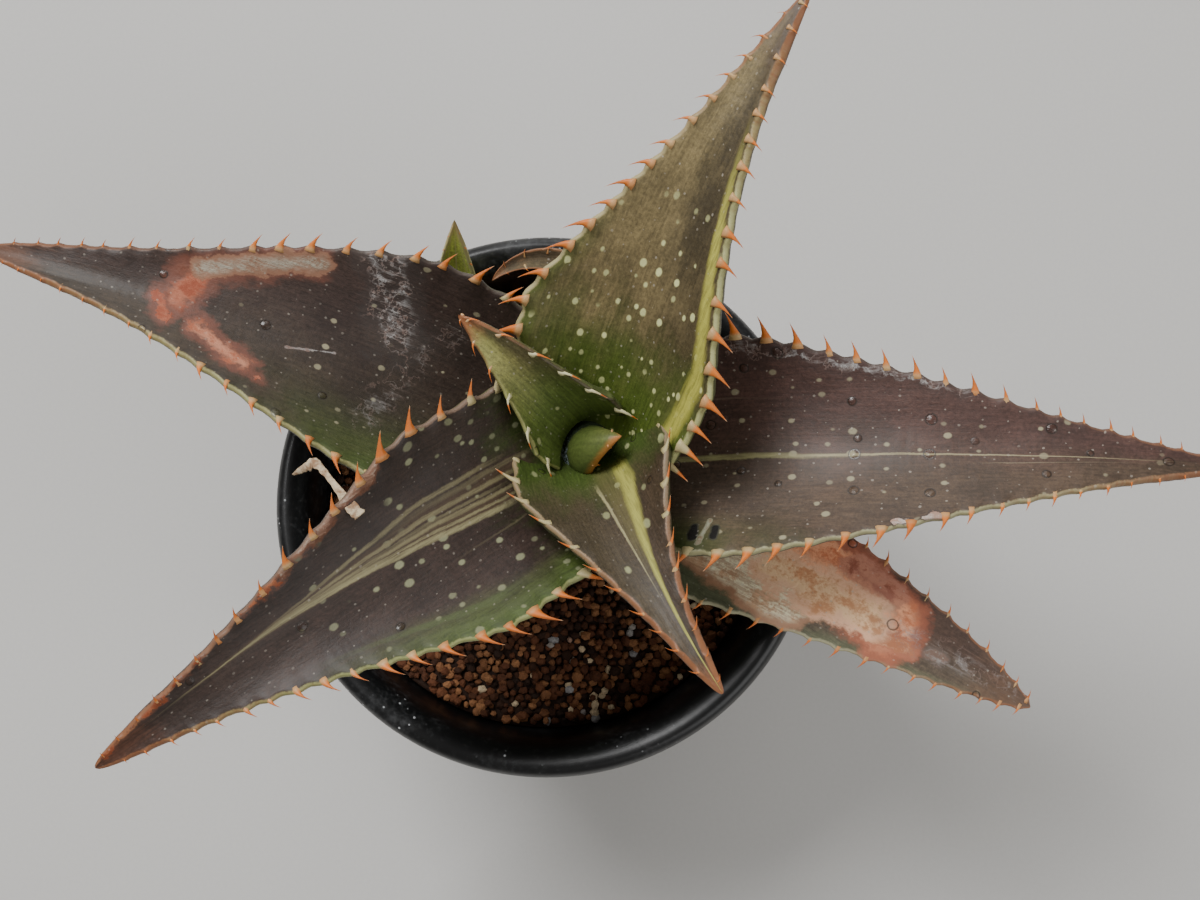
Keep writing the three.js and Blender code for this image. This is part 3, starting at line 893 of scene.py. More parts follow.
@dataclass
class LeafPiece:
    """One leaf of the rosette: its shape, its teeth and its skin."""

    name: str
    form: LeafForm
    finish: LeafFinish
    teeth: Teeth | None
    origin: Triple = PLANT_AT
    rings: int = 260
    facets: int = 44
    blade: Blade = field(init=False)

    RING_GRADING = 1.2
    TOOTH_FACETS = 7
    TOOTH_EVEN, TOOTH_STEEP = 0.32, 0.68
    TOOTH_LEAN_POWER = 1.5
    TOOTH_EDGE_POWER = 0.8
    LEAST_THICKNESS = 0.55
    TOOTH_FOOT = 0.05
    TOOTH_SIDE = 0.3

    def __post_init__(self) -> None:
        """Works out the blade."""
        self.blade = Blade(self.form, self.origin, self.teeth)

    def add_to(self, bm: bmesh.types.BMesh) -> None:
        """Adds the blade and its teeth to a bmesh with the leaf's attributes."""
        share_layer = bm.verts.layers.float_vector["leaf_share"]
        size_layer = bm.verts.layers.float_vector["leaf_size"]
        sheet = bmesh.ops.create_grid(bm, x_segments=self.rings, y_segments=self.facets, size=0.5)["verts"]
        low = min(vert.co.x for vert in sheet)
        span = max(vert.co.x for vert in sheet) - low
        for vert in sheet:
            share = 1.0 - (1.0 - (vert.co.x - low) / span) ** self.RING_GRADING
            turn = 2.0 * math.pi * (vert.co.y - low) / span - math.pi / 2
            point, across, height = self.blade.surface(share, turn)
            half = self.blade.half_width(share)
            vert.co = point * MM
            vert[share_layer] = Vector((across, share, height))
            vert[size_layer] = Vector((across * half, share * self.form.length, (1 - abs(across)) * half))
        bmesh.ops.remove_doubles(bm, verts=sheet, dist=MERGE_REACH)
        for tooth in self.blade.teeth:
            self._add_tooth(bm, tooth)

    def _add_tooth(self, bm: bmesh.types.BMesh, tooth: Tooth) -> None:
        """Adds one curved, flattened spike on the margin."""
        share_layer = bm.verts.layers.float_vector["leaf_share"]
        size_layer = bm.verts.layers.float_vector["leaf_size"]
        tooth_layer = bm.verts.layers.float["leaf_tooth"]
        rule = self.blade.rule
        side = tooth.side.value
        arc = self.blade.arc(tooth.along, side)
        back, outward = -arc.along, arc.outward * side
        base = arc.point + outward * self.blade.margin_offset(tooth.along, side)
        level = Vector((-arc.along.y, arc.along.x, 0.0)).normalized() * side
        outward = outward.lerp(level, rule.splay).normalized()
        across = outward.cross(back).normalized()
        sweep = rule.lean_left if tooth.side is Side.LEFT else rule.lean_right
        half = self.blade.half_width(tooth.along)
        height = rule.height * tooth.size
        thick = rule.half_thickness * max(self.LEAST_THICKNESS, tooth.size)
        facets = self.TOOTH_FACETS
        for vert in bmesh.ops.create_uvsphere(bm, u_segments=facets, v_segments=facets, radius=1.0)["verts"]:
            level = (vert.co.z + 1.0) / 2.0
            spread = math.hypot(vert.co.x, vert.co.y)
            turn = Vector((vert.co.x, vert.co.y)) / spread if spread > 1e-6 else Vector((0.0, 0.0))
            narrow = self.TOOTH_EVEN * (1 - level) + self.TOOTH_STEEP * (1 - level) ** 3
            reach = -rule.root + level * (height + rule.root)
            lean = sweep * tooth.size * max(0.0, reach / height) ** self.TOOTH_LEAN_POWER
            point = base + back * (turn.x * rule.half_length * tooth.size * narrow + lean)
            point += outward * reach + across * (turn.y * thick * (1 - level) ** self.TOOTH_EDGE_POWER)
            vert.co = point * MM
            vert[share_layer] = Vector((side, tooth.along, self.TOOTH_SIDE))
            vert[size_layer] = Vector((side * half, tooth.along * self.form.length, 0.0))
            vert[tooth_layer] = max(self.TOOTH_FOOT, clamp01(reach / height))

    def build(self) -> list[bpy.types.Object]:
        """Builds and dresses the leaf, and returns its piece."""
        bm = leaf_mesh()
        self.add_to(bm)
        bmesh.ops.recalc_face_normals(bm, faces=bm.faces)
        piece = make_piece(f"{self.name}_skin", bm)
        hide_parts(self.name)
        self.finish.dress(piece, float(len(self.name)) + self.form.length, self.form)
        return [piece]


def leaf_mesh() -> bmesh.types.BMesh:
    """Returns an empty bmesh with the attributes that a leaf's skin reads."""
    bm = bmesh.new()
    bm.verts.layers.float_vector.new("leaf_share")
    bm.verts.layers.float_vector.new("leaf_size")
    bm.verts.layers.float.new("leaf_tooth")
    return bm


@dataclass
class Pup:
    """The offset: one tall channelled leaf, three short ones and the stub that they grow from.

    A leaf's three numbers are its heading in degrees, its length and its half width.
    """

    finish: LeafFinish
    teeth: Teeth = field(default_factory=lambda: Teeth(first=0.3, scale=0.25, seed=20, spacing=6.0))
    short: tuple[Triple, ...] = ((235, 17, 5), (345, 14, 4.5), (25, 11, 4))
    tall: Triple = (84, 53, 8)
    stub_radius: float = STUB_RADIUS
    root_radius: float = 2.24
    stub_depth: float = 9.0
    stub_rise: float = 2.0

    def leaf(self, heading: float, length: float, half_width: float, tall: bool) -> LeafForm:
        """Returns the shape of one of the offset's leaves."""
        return LeafForm(
            root=(0, 0, -2), heading=heading, rise=(76, 68, 66) if tall else (70, 45, 35), length=length,
            half_width=half_width, cup=(60, 52, 46), thickness=3.0 if tall else 2.0, neck=0.5, widest=0.36,
            belly=1.3, taper=1.0, blunt=0.1, ripple=0.5,
        )

    def build(self) -> list[bpy.types.Object]:
        """Builds and dresses the offset, and returns its piece."""
        bm = leaf_mesh()
        leaves = [(self.leaf(*self.tall, True), self.teeth)]
        leaves += [(self.leaf(*values, False), None) for values in self.short]
        for form, teeth in leaves:
            LeafPiece("pup", form, self.finish, teeth, PUP_AT, rings=90, facets=28).add_to(bm)
        x, y, z = PUP_AT
        centre = Vector((x, y, z + self.stub_rise / 2 - self.stub_depth / 2)) * MM
        stub = bmesh.ops.create_cone(
            bm, cap_ends=True, segments=24, radius1=self.root_radius * MM, radius2=self.stub_radius * MM,
            depth=(self.stub_depth + self.stub_rise) * MM, matrix=Matrix.Translation(centre),
        )
        share_layer = bm.verts.layers.float_vector["leaf_share"]
        size_layer = bm.verts.layers.float_vector["leaf_size"]
        for vert in stub["verts"]:
            vert[share_layer] = Vector((0.0, 0.0, 0.5))
            vert[size_layer] = Vector((vert.co.x / MM, vert.co.z / MM, 5.0))
        bmesh.ops.recalc_face_normals(bm, faces=bm.faces)
        piece = make_piece("pup_skin", bm)
        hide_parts("pup")
        self.finish.dress(piece, 3.0, leaves[0][0])
        return [piece]


@dataclass(frozen=True)
class PotFinish:
    """Half-gloss moulded black plastic with dust, and pale specks on its lip that are painted highlights, the
    glints of small water drops.
    """

    black: Colour = (0.0035, 0.0038, 0.0044)
    dust: Colour = (0.16, 0.165, 0.17)
    lip_glint: Colour = (0.72, 0.74, 0.76)

    def dress(self, piece: bpy.types.Object) -> None:
        """Gives the finish to the pot."""
        graph = Graph(piece, "pot_plastic", {"Specular IOR Level": 0.5})
        place = graph.place()
        x, y, z = graph.parts(place)
        cloud = graph.grain(place, 60.0, 4.0)
        fine = graph.grain(place, 900.0, 3.0)
        scuffs = graph.grain(graph.vector(x * 0.6, y * 0.6, z * 6.0), 240.0, 3.0)
        specks = graph.node("ShaderNodeTexVoronoi", {"feature": "F1"}, {"Vector": place, "Scale": 520.0})
        lip = z.rise(0.0895, 0.0945)
        dusty = (cloud * 0.7 + fine * 0.5).rise(0.58, 0.95) * 0.35
        colour = graph.mix(dusty, self.black, self.dust)
        # Painted highlights: pale specks on the lip stand in for glints of light on small water drops.
        glints = specks.fall(0.08, 0.18) * cloud.rise(0.5, 0.6) * lip * 0.85
        colour = graph.mix(glints, colour, self.lip_glint)
        roughness = 0.25 + cloud * 0.14 + fine * 0.08 + glints * 0.3
        graph.finish(colour, roughness, fine * 0.5 + scuffs * 0.4 + glints, 0.00012, 0.35)


@dataclass
class Pot:
    """A round pot: a tapered wall, a rounded overhanging lip, and a floor with a ring of drain holes."""

    finish: PotFinish
    height: float = 95.0
    lip: float = 60.0
    ridge: float = 57.3
    lip_depth: float = 10.0
    lip_step: float = 1.0
    neck: float = 54.0
    base: float = 41.0
    base_edge: float = 2.0
    wall: float = 2.5
    floor: float = 3.5
    holes: int = 6
    hole: float = 4.5
    hole_ring: float = 27.0
    outer_levels: tuple[float, ...] = (20.0, 40.0, 60.0)
    inner_levels: tuple[float, ...] = (60.0, 30.0)
    facets: int = 160

    def wall_radius(self, level: float) -> float:
        """Returns the outside radius of the tapered wall at level."""
        return self.base + (self.neck - self.base) * level / (self.height - self.lip_depth)

    def profile(self) -> list[tuple[float, float]]:
        """Returns the section from the axis underneath, over the lip, to the axis on the floor."""
        foot = self.height - self.lip_depth
        inner = self.wall_radius(foot) - self.wall
        points = [(0.0, 0.0), (self.base - self.base_edge, 0.0)]
        corner = (self.wall_radius(self.base_edge), self.base_edge)
        points += curve_points(points[-1], (self.base, 0.0), corner, 6)
        points += [(self.wall_radius(level), level) for level in self.outer_levels]
        points += [(self.neck, foot)]
        points += curve_points(points[-1], (self.lip, foot + self.lip_step), (self.lip, foot + 5.0), 10)
        points += curve_points(points[-1], (self.lip, self.height), (self.ridge, self.height), 10)
        points += curve_points(points[-1], (inner, self.height - self.lip_step), (inner, foot), 12)
        points += [(self.wall_radius(level) - self.wall, level) for level in (*self.inner_levels, self.floor)]
        points += [(0.0, self.floor)]
        return points

    def build(self) -> list[bpy.types.Object]:
        """Builds and dresses the pot, and returns its piece."""
        piece = make_piece("pot_shell", spun(self.profile(), self.facets))
        drill = bmesh.new()
        for index in range(self.holes):
            angle = 2 * math.pi * (index + 0.5) / self.holes
            centre = Vector((math.cos(angle), math.sin(angle), 0.0)) * self.hole_ring * MM
            bmesh.ops.create_cone(
                drill, cap_ends=True, segments=32, radius1=self.hole * MM, radius2=self.hole * MM,
                depth=4 * self.floor * MM, matrix=Matrix.Translation(centre),
            )
        tool_mesh = bpy.data.meshes.new("drill")
        drill.to_mesh(tool_mesh)
        drill.free()
        tool = bpy.data.objects.new("drill", tool_mesh)
        bpy.context.scene.collection.objects.link(tool)
        cut = piece.modifiers.new("drain_holes", "BOOLEAN")
        cut.operation, cut.solver, cut.object = "DIFFERENCE", "EXACT", tool
        shaped = bpy.data.meshes.new_from_object(piece.evaluated_get(bpy.context.evaluated_depsgraph_get()))
        piece.modifiers.remove(cut)
        piece.data = shaped
        bpy.data.objects.remove(tool)
        shaped.set_sharp_from_angle(angle=math.radians(35))
        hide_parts("pot")
        self.finish.dress(piece)
        return [piece]


@dataclass(frozen=True)
class SoilFinish:
    """Dry reddish-brown grains, with a few cream, white and grey ones. The browns are darkened with painted
    shade, for the pot's shade on the soil.
    """

    # Painted shade: the dark, red and tan browns are darker than the grains' own, for the pot's shade on the
    # soil.
    dark: Colour = (0.022, 0.009, 0.004)
    red: Colour = (0.12, 0.042, 0.017)
    tan: Colour = (0.30, 0.14, 0.06)
    cream: Colour = (0.62, 0.5, 0.33)
    grey: Colour = (0.3, 0.3, 0.31)

    def dress(self, piece: bpy.types.Object) -> None:
        """Gives the finish to the soil."""
        graph = Graph(piece, "gritty_soil", {"Specular IOR Level": 0.3})
        tone = graph.number("grain_tone")
        place = graph.place()
        fine = graph.grain(place, 2400.0, 3.0, 0.65)
        cloud = graph.grain(place, 90.0, 2.0)
        colour = graph.mix(tone.rise(0.0, 0.55), self.dark, self.red)
        colour = graph.mix(tone.rise(0.5, 0.93), colour, self.tan)
        colour = graph.mix(tone.rise(0.945, 0.955), colour, self.grey)
        colour = graph.mix(tone.rise(0.965, 0.975), colour, self.cream)
        shade = (fine * 0.6 + cloud * 0.4).rise(0.25, 0.75)
        colour = graph.tint(colour, graph.mix(shade, (0.5, 0.48, 0.46), (1.25, 1.2, 1.15)))
        graph.finish(colour, 0.72 + fine * 0.2, fine, 0.0003, 0.6)


@dataclass
class Soil:
    """Granules over a lumpy bed that fills the pot to below its lip.

    The row is the distance between rows of granules over their spacing, large is the share of large ones,
    and bed_waves is in waves a millimetre.
    """

    finish: SoilFinish
    pot: Pot
    spacing: float = 1.85
    radius: float = 0.98
    upper_share: float = 0.3
    cells: int = 56
    clear: float = 0.6
    seed: int = 31
    batch: int = 60
    row: float = 0.866
    jitter: float = 0.5
    large: float = 0.08
    bed_gap: float = 0.3
    bed_waves: float = 0.16
    bed_relief: float = 0.5
    bed_drop: float = 0.45

    FULL_TURN = 6.28
    # Least stretch of a granule along x, y and z, and what a draw adds to it.
    STRETCHES = ((0.85, 0.4), (0.8, 0.4), (0.75, 0.3))

    def bed(self) -> bmesh.types.BMesh:
        """Returns the bed: a lumpy disc whose rim is drawn down to the pot's floor and closed there."""
        bm = bmesh.new()
        bm.verts.layers.float.new("grain_tone")
        edge = self.pot.wall_radius(SOIL_TOP) - self.pot.wall - 0.5
        bmesh.ops.create_grid(bm, x_segments=self.cells, y_segments=self.cells, size=1.0)
        for vert in bm.verts:
            x, y = vert.co.x, vert.co.y
            flat = Vector((x * math.sqrt(1 - y * y / 2), y * math.sqrt(1 - x * x / 2), 0.0)) * edge
            lump = self.bed_relief * noise.noise(flat * self.bed_waves) - self.bed_drop
            vert.co = (flat + Vector((0.0, 0.0, SOIL_TOP + lump))) * MM
        bottom = self.pot.floor + self.bed_gap
        low_edge = self.pot.wall_radius(bottom) - self.pot.wall - 0.4
        rim = [item for item in bm.edges if item.is_boundary]
        drawn = bmesh.ops.extrude_edge_only(bm, edges=rim)["geom"]
        for vert in (item for item in drawn if isinstance(item, bmesh.types.BMVert)):
            flat = Vector((vert.co.x, vert.co.y, 0.0)).normalized() * low_edge * MM
            vert.co = flat + Vector((0.0, 0.0, bottom * MM))
        bmesh.ops.edgeloop_fill(bm, edges=[item for item in bm.edges if item.is_boundary])
        return bm

    def places(self, draw: random.Random) -> list[Vector]:
        """Returns where the granules lie: a jittered layer and a thinner one on it."""
        edge = self.pot.wall_radius(SOIL_TOP) - self.pot.wall - self.radius - 0.2
        rows = int(edge / (self.spacing * self.row)) + 1
        spots = []
        for row in range(-rows, rows + 1):
            for column in range(-rows - 2, rows + 3):
                x = (column + 0.5 * (row % 2) + self.jitter * (draw.random() - 0.5)) * self.spacing
                y = (row * self.row + self.jitter * (draw.random() - 0.5)) * self.spacing
                if math.hypot(x, y) > edge or self._taken(x, y):
                    continue
                spots.append(Vector((x, y, SOIL_TOP + 0.15 * draw.random() - 0.1)))
                if draw.random() < self.upper_share:
                    shift = Vector((draw.random() - 0.5, draw.random() - 0.5, 0.0)) * self.spacing
                    over = Vector((x, y, SOIL_TOP + 0.75 + 0.35 * draw.random())) + shift
                    if math.hypot(over.x, over.y) < edge and not self._taken(over.x, over.y):
                        spots.append(over)
        return spots

    def _taken(self, x: float, y: float) -> bool:
        """Returns whether a stem stands at x, y."""
        reach = self.radius + self.clear
        stems = ((PLANT_AT, STEM_RADIUS), (PUP_AT, STUB_RADIUS))
        return any(math.hypot(x - at[0], y - at[1]) < radius + reach for at, radius in stems)

    def granules(self, draw: random.Random) -> bmesh.types.BMesh:
        """Returns all granules, made in small batches, which is faster than in one mesh."""
        whole = bmesh.new()
        whole.verts.layers.float.new("grain_tone")
        places = self.places(draw)
        for first in range(0, len(places), self.batch):
            part = bmesh.new()
            part.verts.layers.float.new("grain_tone")
            for place in places[first:first + self.batch]:
                self._granule(part, place, draw)
            spare = bpy.data.meshes.new("batch")
            part.to_mesh(spare)
            part.free()
            whole.from_mesh(spare)
            bpy.data.meshes.remove(spare)
        return whole

    def _granule(self, bm: bmesh.types.BMesh, place: Vector, draw: random.Random) -> None:
        """Adds one granule, a roughened and turned icosahedron."""
        tone_layer = bm.verts.layers.float["grain_tone"]
        size = self.radius * (0.72 + 0.5 * draw.random()) * (1.25 if draw.random() < self.large else 1.0)
        tone = draw.random()
        turn = Vector((draw.random(), draw.random(), draw.random())).normalized()
        matrix = Matrix.Rotation(self.FULL_TURN * draw.random(), 4, turn)
        stretch = [least + spread * draw.random() for least, spread in self.STRETCHES]
        for vert in bmesh.ops.create_icosphere(bm, subdivisions=1, radius=size)["verts"]:
            rough = matrix @ (vert.co * (0.84 + 0.32 * draw.random()))
            vert.co = (place + Vector(part * by for part, by in zip(rough, stretch))) * MM
            vert[tone_layer] = tone

    def build(self) -> list[bpy.types.Object]:
        """Builds and dresses the soil, and returns its bed and its grains."""
        draw = random.Random(self.seed)
        bed = make_piece("soil_bed", self.bed())
        grains = make_piece("soil_grains", self.granules(draw), sharp=25)
        for piece in (bed, grains):
            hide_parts("soil")
            self.finish.dress(piece)
        return [bed, grains]


@dataclass(frozen=True)
class StemFinish:
    """Matt green-brown skin, with old leaves' rings and a dark growing point that has waxy flakes."""

    green: Colour = (0.10, 0.13, 0.045)
    brown: Colour = (0.16, 0.10, 0.06)
    point: Colour = (0.02, 0.035, 0.010)
    wax: Colour = (0.30, 0.36, 0.38)

    def dress(self, piece: bpy.types.Object) -> None:
        """Gives the finish to the stem."""
        graph = Graph(piece, "stem_skin", {})
        place = graph.place()
        x, y, z = graph.parts(place)
        rings = graph.grain(graph.vector(x * 0.2, y * 0.2, z * 3.0), 320.0, 3.0)
        fine = graph.grain(place, 1500.0, 3.0)
        top = z.rise(0.105, 0.112)
        colour = graph.mix((rings * 0.7 + fine * 0.3 + z * -2.0).rise(0.15, 0.45), self.brown, self.green)
        colour = graph.mix(top, colour, self.point)
        waxy = (rings * 0.4 + fine * 0.6).rise(0.52, 0.6) * top * x.fall(0.004, 0.009)
        colour = graph.mix(waxy * 0.8, colour, self.wax)
        graph.finish(colour, 0.6 + fine * 0.2, rings * 0.7 + fine * 0.3, 0.0004, 0.6)


@dataclass
class Stem:
    """The short stem that the leaves clasp, from its root end in the soil to its growing point."""

    finish: StemFinish
    radius: float = STEM_RADIUS
    depth: float = 28.0
    height: float = 40.0
    straight: float = 0.75
    rings: int = 13
    ring_depth: float = 0.25
    ring_pitch: float = 3.0
    ring_start: float = 12.0

    def build(self) -> list[bpy.types.Object]:
        """Builds and dresses the stem, and returns its piece."""
        radius = self.radius
        profile = [(0.0, -self.depth)]
        profile += curve_points(profile[-1], (radius, -self.depth), (radius, -self.depth / 2), 8)
        profile += [
            (radius - self.ring_depth * (step % 2), self.ring_pitch * step - self.ring_start)
            for step in range(1, self.rings + 1)
        ]
        profile += [(radius, self.height * self.straight)]
        profile += curve_points(profile[-1], (radius, self.height), (0.0, self.height), 10)
        bm = spun(profile, 48)
        bmesh.ops.translate(bm, verts=bm.verts, vec=Vector(PLANT_AT) * MM)
        piece = make_piece("stem_skin", bm)
        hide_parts("stem")
        self.finish.dress(piece)
        return [piece]


@dataclass(frozen=True)
class DryFinish:
    """Papery cream skin, browner in random patches."""

    cream: Colour = (0.66, 0.54, 0.36)
    brown: Colour = (0.3, 0.17, 0.09)

    def dress(self, piece: bpy.types.Object) -> None:
        """Gives the finish to a dry piece."""
        graph = Graph(piece, "dry_skin", {})
        place = graph.place()
        fine = graph.grain(place, 1800.0, 4.0)
        cloud = graph.grain(place, 420.0, 3.0)
        colour = graph.mix((cloud * 0.7 + fine * 0.3).rise(0.38, 0.62), self.brown, self.cream)
        graph.finish(colour, 0.7 + fine * 0.2, fine * 0.6 + cloud * 0.4, 0.0003, 0.7)


@dataclass
class Shred:
    """The curled strip of dead skin on the lower left leaf's margin, along a path from the plant's origin.

    Its sway, swell, tears and curl come in waves, counted in radians along the strip.
    """

    finish: DryFinish
    path: tuple[Triple, ...] = (
        (-43.5, -16.5, 69), (-46.4, -13.4, 68.5), (-49.7, -9.4, 66),
        (-52.9, -6, 63), (-55.2, -6.2, 61), (-58.4, -7.7, 58),
    )
    half_width: float = 0.95
    half_thickness: float = 0.28
    step: float = 0.01
    sway: float = 0.35
    sway_waves: float = 5
    swell: float = 0.35
    swell_waves: float = 9
    tear: float = 0.35
    tear_waves: float = 22
    curl: float = 0.5
    curl_waves: float = 6

    def at(self, share: float) -> Vector:
        """Returns the point of a smooth line through the path."""
        points = [Vector(point) for point in self.path]
        place = share * (len(points) - 1)
        index = min(len(points) - 2, int(place))
        rest = place - index
        before = points[max(0, index - 1)]
        first, second = points[index], points[index + 1]
        after = points[min(len(points) - 1, index + 2)]
        return 0.5 * (
            2 * first + (second - before) * rest + (2 * before - 5 * first + 4 * second - after) * rest**2
            + (3 * first - before - 3 * second + after) * rest**3
        )

    def build(self) -> list[bpy.types.Object]:
        """Builds and dresses the strip, and returns its piece."""
        bm = bmesh.new()
        bmesh.ops.create_grid(bm, x_segments=60, y_segments=14, size=1.0)
        for vert in bm.verts:
            share, turn = (vert.co.x + 1) / 2, math.pi * (vert.co.y + 1)
            here = self.at(share)
            ahead, behind = min(1.0, share + self.step), max(0.0, share - self.step)
            along = (self.at(ahead) - self.at(behind)).normalized()
            up = Vector((self.sway * math.sin(self.sway_waves * share), 0.3, 1.0))
            side = along.cross(up).normalized()
            face = side.cross(along)
            swell = 1 + self.swell * math.sin(self.swell_waves * share + 1)
            taper = min(1.0, 4 * (1 - share)) ** 0.5 * swell
            taper *= 1 + self.tear * noise.noise(Vector((share * self.tear_waves, math.cos(turn), 4.0)))
            flat, thick = math.cos(turn) * self.half_width * taper, math.sin(turn) * self.half_thickness
            curl = self.curl * (math.cos(turn) ** 2) * math.sin(self.curl_waves * share)
            lift = face * (thick * min(1.0, taper + 0.2) + curl)
            vert.co = (here + side * flat + lift + Vector(PLANT_AT)) * MM
        bmesh.ops.remove_doubles(bm, verts=bm.verts, dist=MERGE_REACH)
        bmesh.ops.holes_fill(bm, edges=[edge for edge in bm.edges if edge.is_boundary], sides=0)
        bmesh.ops.recalc_face_normals(bm, faces=bm.faces)
        piece = make_piece("leaf_lower_left_shred", bm)
        self.finish.dress(piece)
        return [piece]


STREAK_TAUPE: Colour = (0.22, 0.19, 0.10)
STREAK_BROWN: Colour = (0.085, 0.055, 0.032)
STREAK_CREAM: Colour = (0.30, 0.27, 0.14)
YELLOW_STRIPE: Colour = (0.46, 0.44, 0.10)
BROWN_TIP: Colour = (0.13, 0.06, 0.035)
LEAF_GREEN: Colour = (0.050, 0.080, 0.014)
UNDER_GREEN: Colour = (0.10, 0.12, 0.045)
PALE_SPOT: Colour = (0.52, 0.54, 0.27)
BUFF_SPOT: Colour = (0.42, 0.38, 0.24)
SALMON: Colour = (0.48, 0.165, 0.092)
DEEP_SALMON: Colour = (0.17, 0.062, 0.04)
BUFF: Colour = (0.42, 0.38, 0.30)
# Near-white scar colours: partly the scars' own cream, partly painted light, brightened for the highlight on
# them and against the shade of the leaves above.
CREAM_SCAR_WITH_HIGHLIGHT: Colour = (1.0, 0.68, 0.40)
WHITE_SCAR_WITH_HIGHLIGHT: Colour = (1.0, 0.92, 0.66)
CRUST_GREY: Colour = (0.42, 0.40, 0.39)
# Painted shade: black stands in for the shade inside small torn holes.
PIT_SHADE_BLACK: Colour = (0.008, 0.007, 0.006)
DARK_RIM = Rim((0.10, 0.075, 0.06), 0.4, 0.6)


def leaf_innermost() -> LeafPiece:
    """Returns the plump leaf at the very centre."""
    form = LeafForm(
        root=(-2.2, -0.4, 37), heading=186, rise=(75, 122, 158), length=19, half_width=6.8,
        cup=(100, 84, 72), thickness=4, neck=0.95, widest=0.3, belly=1.5, taper=1, blunt=0.1, roll=-24,
        ripple=0.5,
    )
    scars = (
        Scar((0.75, 0.7), (0.7, 0.98), 0.6, (0.62, 0.34, 0.05), (0.35, 0.10, 0.02), 0.7, 0.3),
        Scar((-0.75, 0.7), (-0.7, 0.98), 0.5, (0.5, 0.2, 0.04), (0.30, 0.10, 0.02), 0.6, 0.3),
    )
    finish = LeafFinish(
        "heart_leaf", heart=(0.10, 0.14, 0.03), outer_left=(0.14, 0.17, 0.04),
        outer_right=(0.20, 0.20, 0.06), tip=(0.45, 0.15, 0.04), under=(0.085, 0.12, 0.025), green_start=0.5,
        green_end=0.95, spots=Spots((0.5, 0.5, 0.2), 3.2, 0.6, 0.6, 1.0),
        left_rim=Rim((0.50, 0.20, 0.04), 1.5), right_rim=Rim((0.22, 0.20, 0.06), 0.5),
        rim_tip=(0.5, 0.18, 0.05), rim_turn=0.95, scars=scars,
    )
    teeth = Teeth(first=0.55, scale=0.3, seed=11)
    return LeafPiece("leaf_innermost", form, finish, teeth, rings=80, facets=32)


def leaf_young() -> LeafPiece:
    """Returns the small olive leaf that points to the upper left."""
    form = LeafForm(
        root=(-3.7, 5.6, 39.5), heading=142.3, bend=-7.8, hook=13.4, rise=(67, 45, 30), length=40.6,
        half_width=12.9, cup=(82, 65, 48), thickness=4, neck=0.97, widest=0.19, belly=0.68, taper=0.83,
        blunt=0.11, roll=-16, twist=-14.5, ripple=0.6,
    )
    finish = LeafFinish(
        "heart_leaf", heart=(0.075, 0.11, 0.022), outer_left=(0.22, 0.22, 0.065),
        outer_right=(0.095, 0.085, 0.04), tip=(0.34, 0.12, 0.045), under=(0.12, 0.15, 0.05),
        green_start=0.25, green_end=0.7, spots=Spots(PALE_SPOT, cell=6.0, size=0.75, share=0.5, end=0.8),
        foot_start=0.3, foot_end=0.75, tooth_base=(0.68, 0.64, 0.38), left_rim=Rim((0.34, 0.34, 0.12), 0.4),
        right_rim=Rim((0.08, 0.065, 0.035), 0.35),
    )
    teeth = Teeth(
        first=0.1, scale=0.72, seed=12, lean_left=4.2, lean_right=4.2, height=3.8, spacing=7.5, tip=0.4
    )
    return LeafPiece("leaf_young", form, finish, teeth, rings=150, facets=40)


def leaf_centre() -> LeafPiece:
    """Returns the short folded leaf with the wide yellow stripe."""
    form = LeafForm(
        root=(0, -3.8, 34), heading=-69.5, bend=8.5, hook=6.7, rise=(67.5, 37.5, 5), length=68,
        half_width=19.5, cup=(78, 37, 67), thickness=7, neck=0.91, widest=0.26, belly=1.04, taper=2.35,
        blunt=0.26, roll=-1, twist=7.4, ripple=0.8,
    )
    streaks = (
        Streak(0.05, 0.17, 0.12, 0.7, (0.17, 0.15, 0.055), drift=0.2, strength=0.6),
        Streak(0.27, 0.13, 0.15, 1.2, YELLOW_STRIPE, drift=0.12, strength=1.0),
        Streak(-0.12, 0.03, 0.22, 0.75, (0.42, 0.38, 0.2), drift=0.25, strength=0.9),
    )
    finish = LeafFinish(
        "striped_leaf", heart=LEAF_GREEN, outer_left=(0.045, 0.030, 0.018),
        outer_right=(0.050, 0.038, 0.022), tip=(0.26, 0.10, 0.04), under=UNDER_GREEN, green_start=0.1,
        green_end=0.36, spots=Spots(PALE_SPOT, 6.0, 0.8, 0.5, 0.75), foot_start=0.2, foot_end=0.6, dust=0.2,
        left_rim=Rim((0.30, 0.22, 0.14), 0.4), right_rim=Rim((0.34, 0.24, 0.13), 0.4), rim_turn=0.6,
        streaks=streaks,
    )
    teeth = Teeth(first=0.1, scale=0.78, seed=13, lean_left=3.4, lean_right=3.0, tip=0.35)
    return LeafPiece("leaf_centre", form, finish, teeth, rings=210)


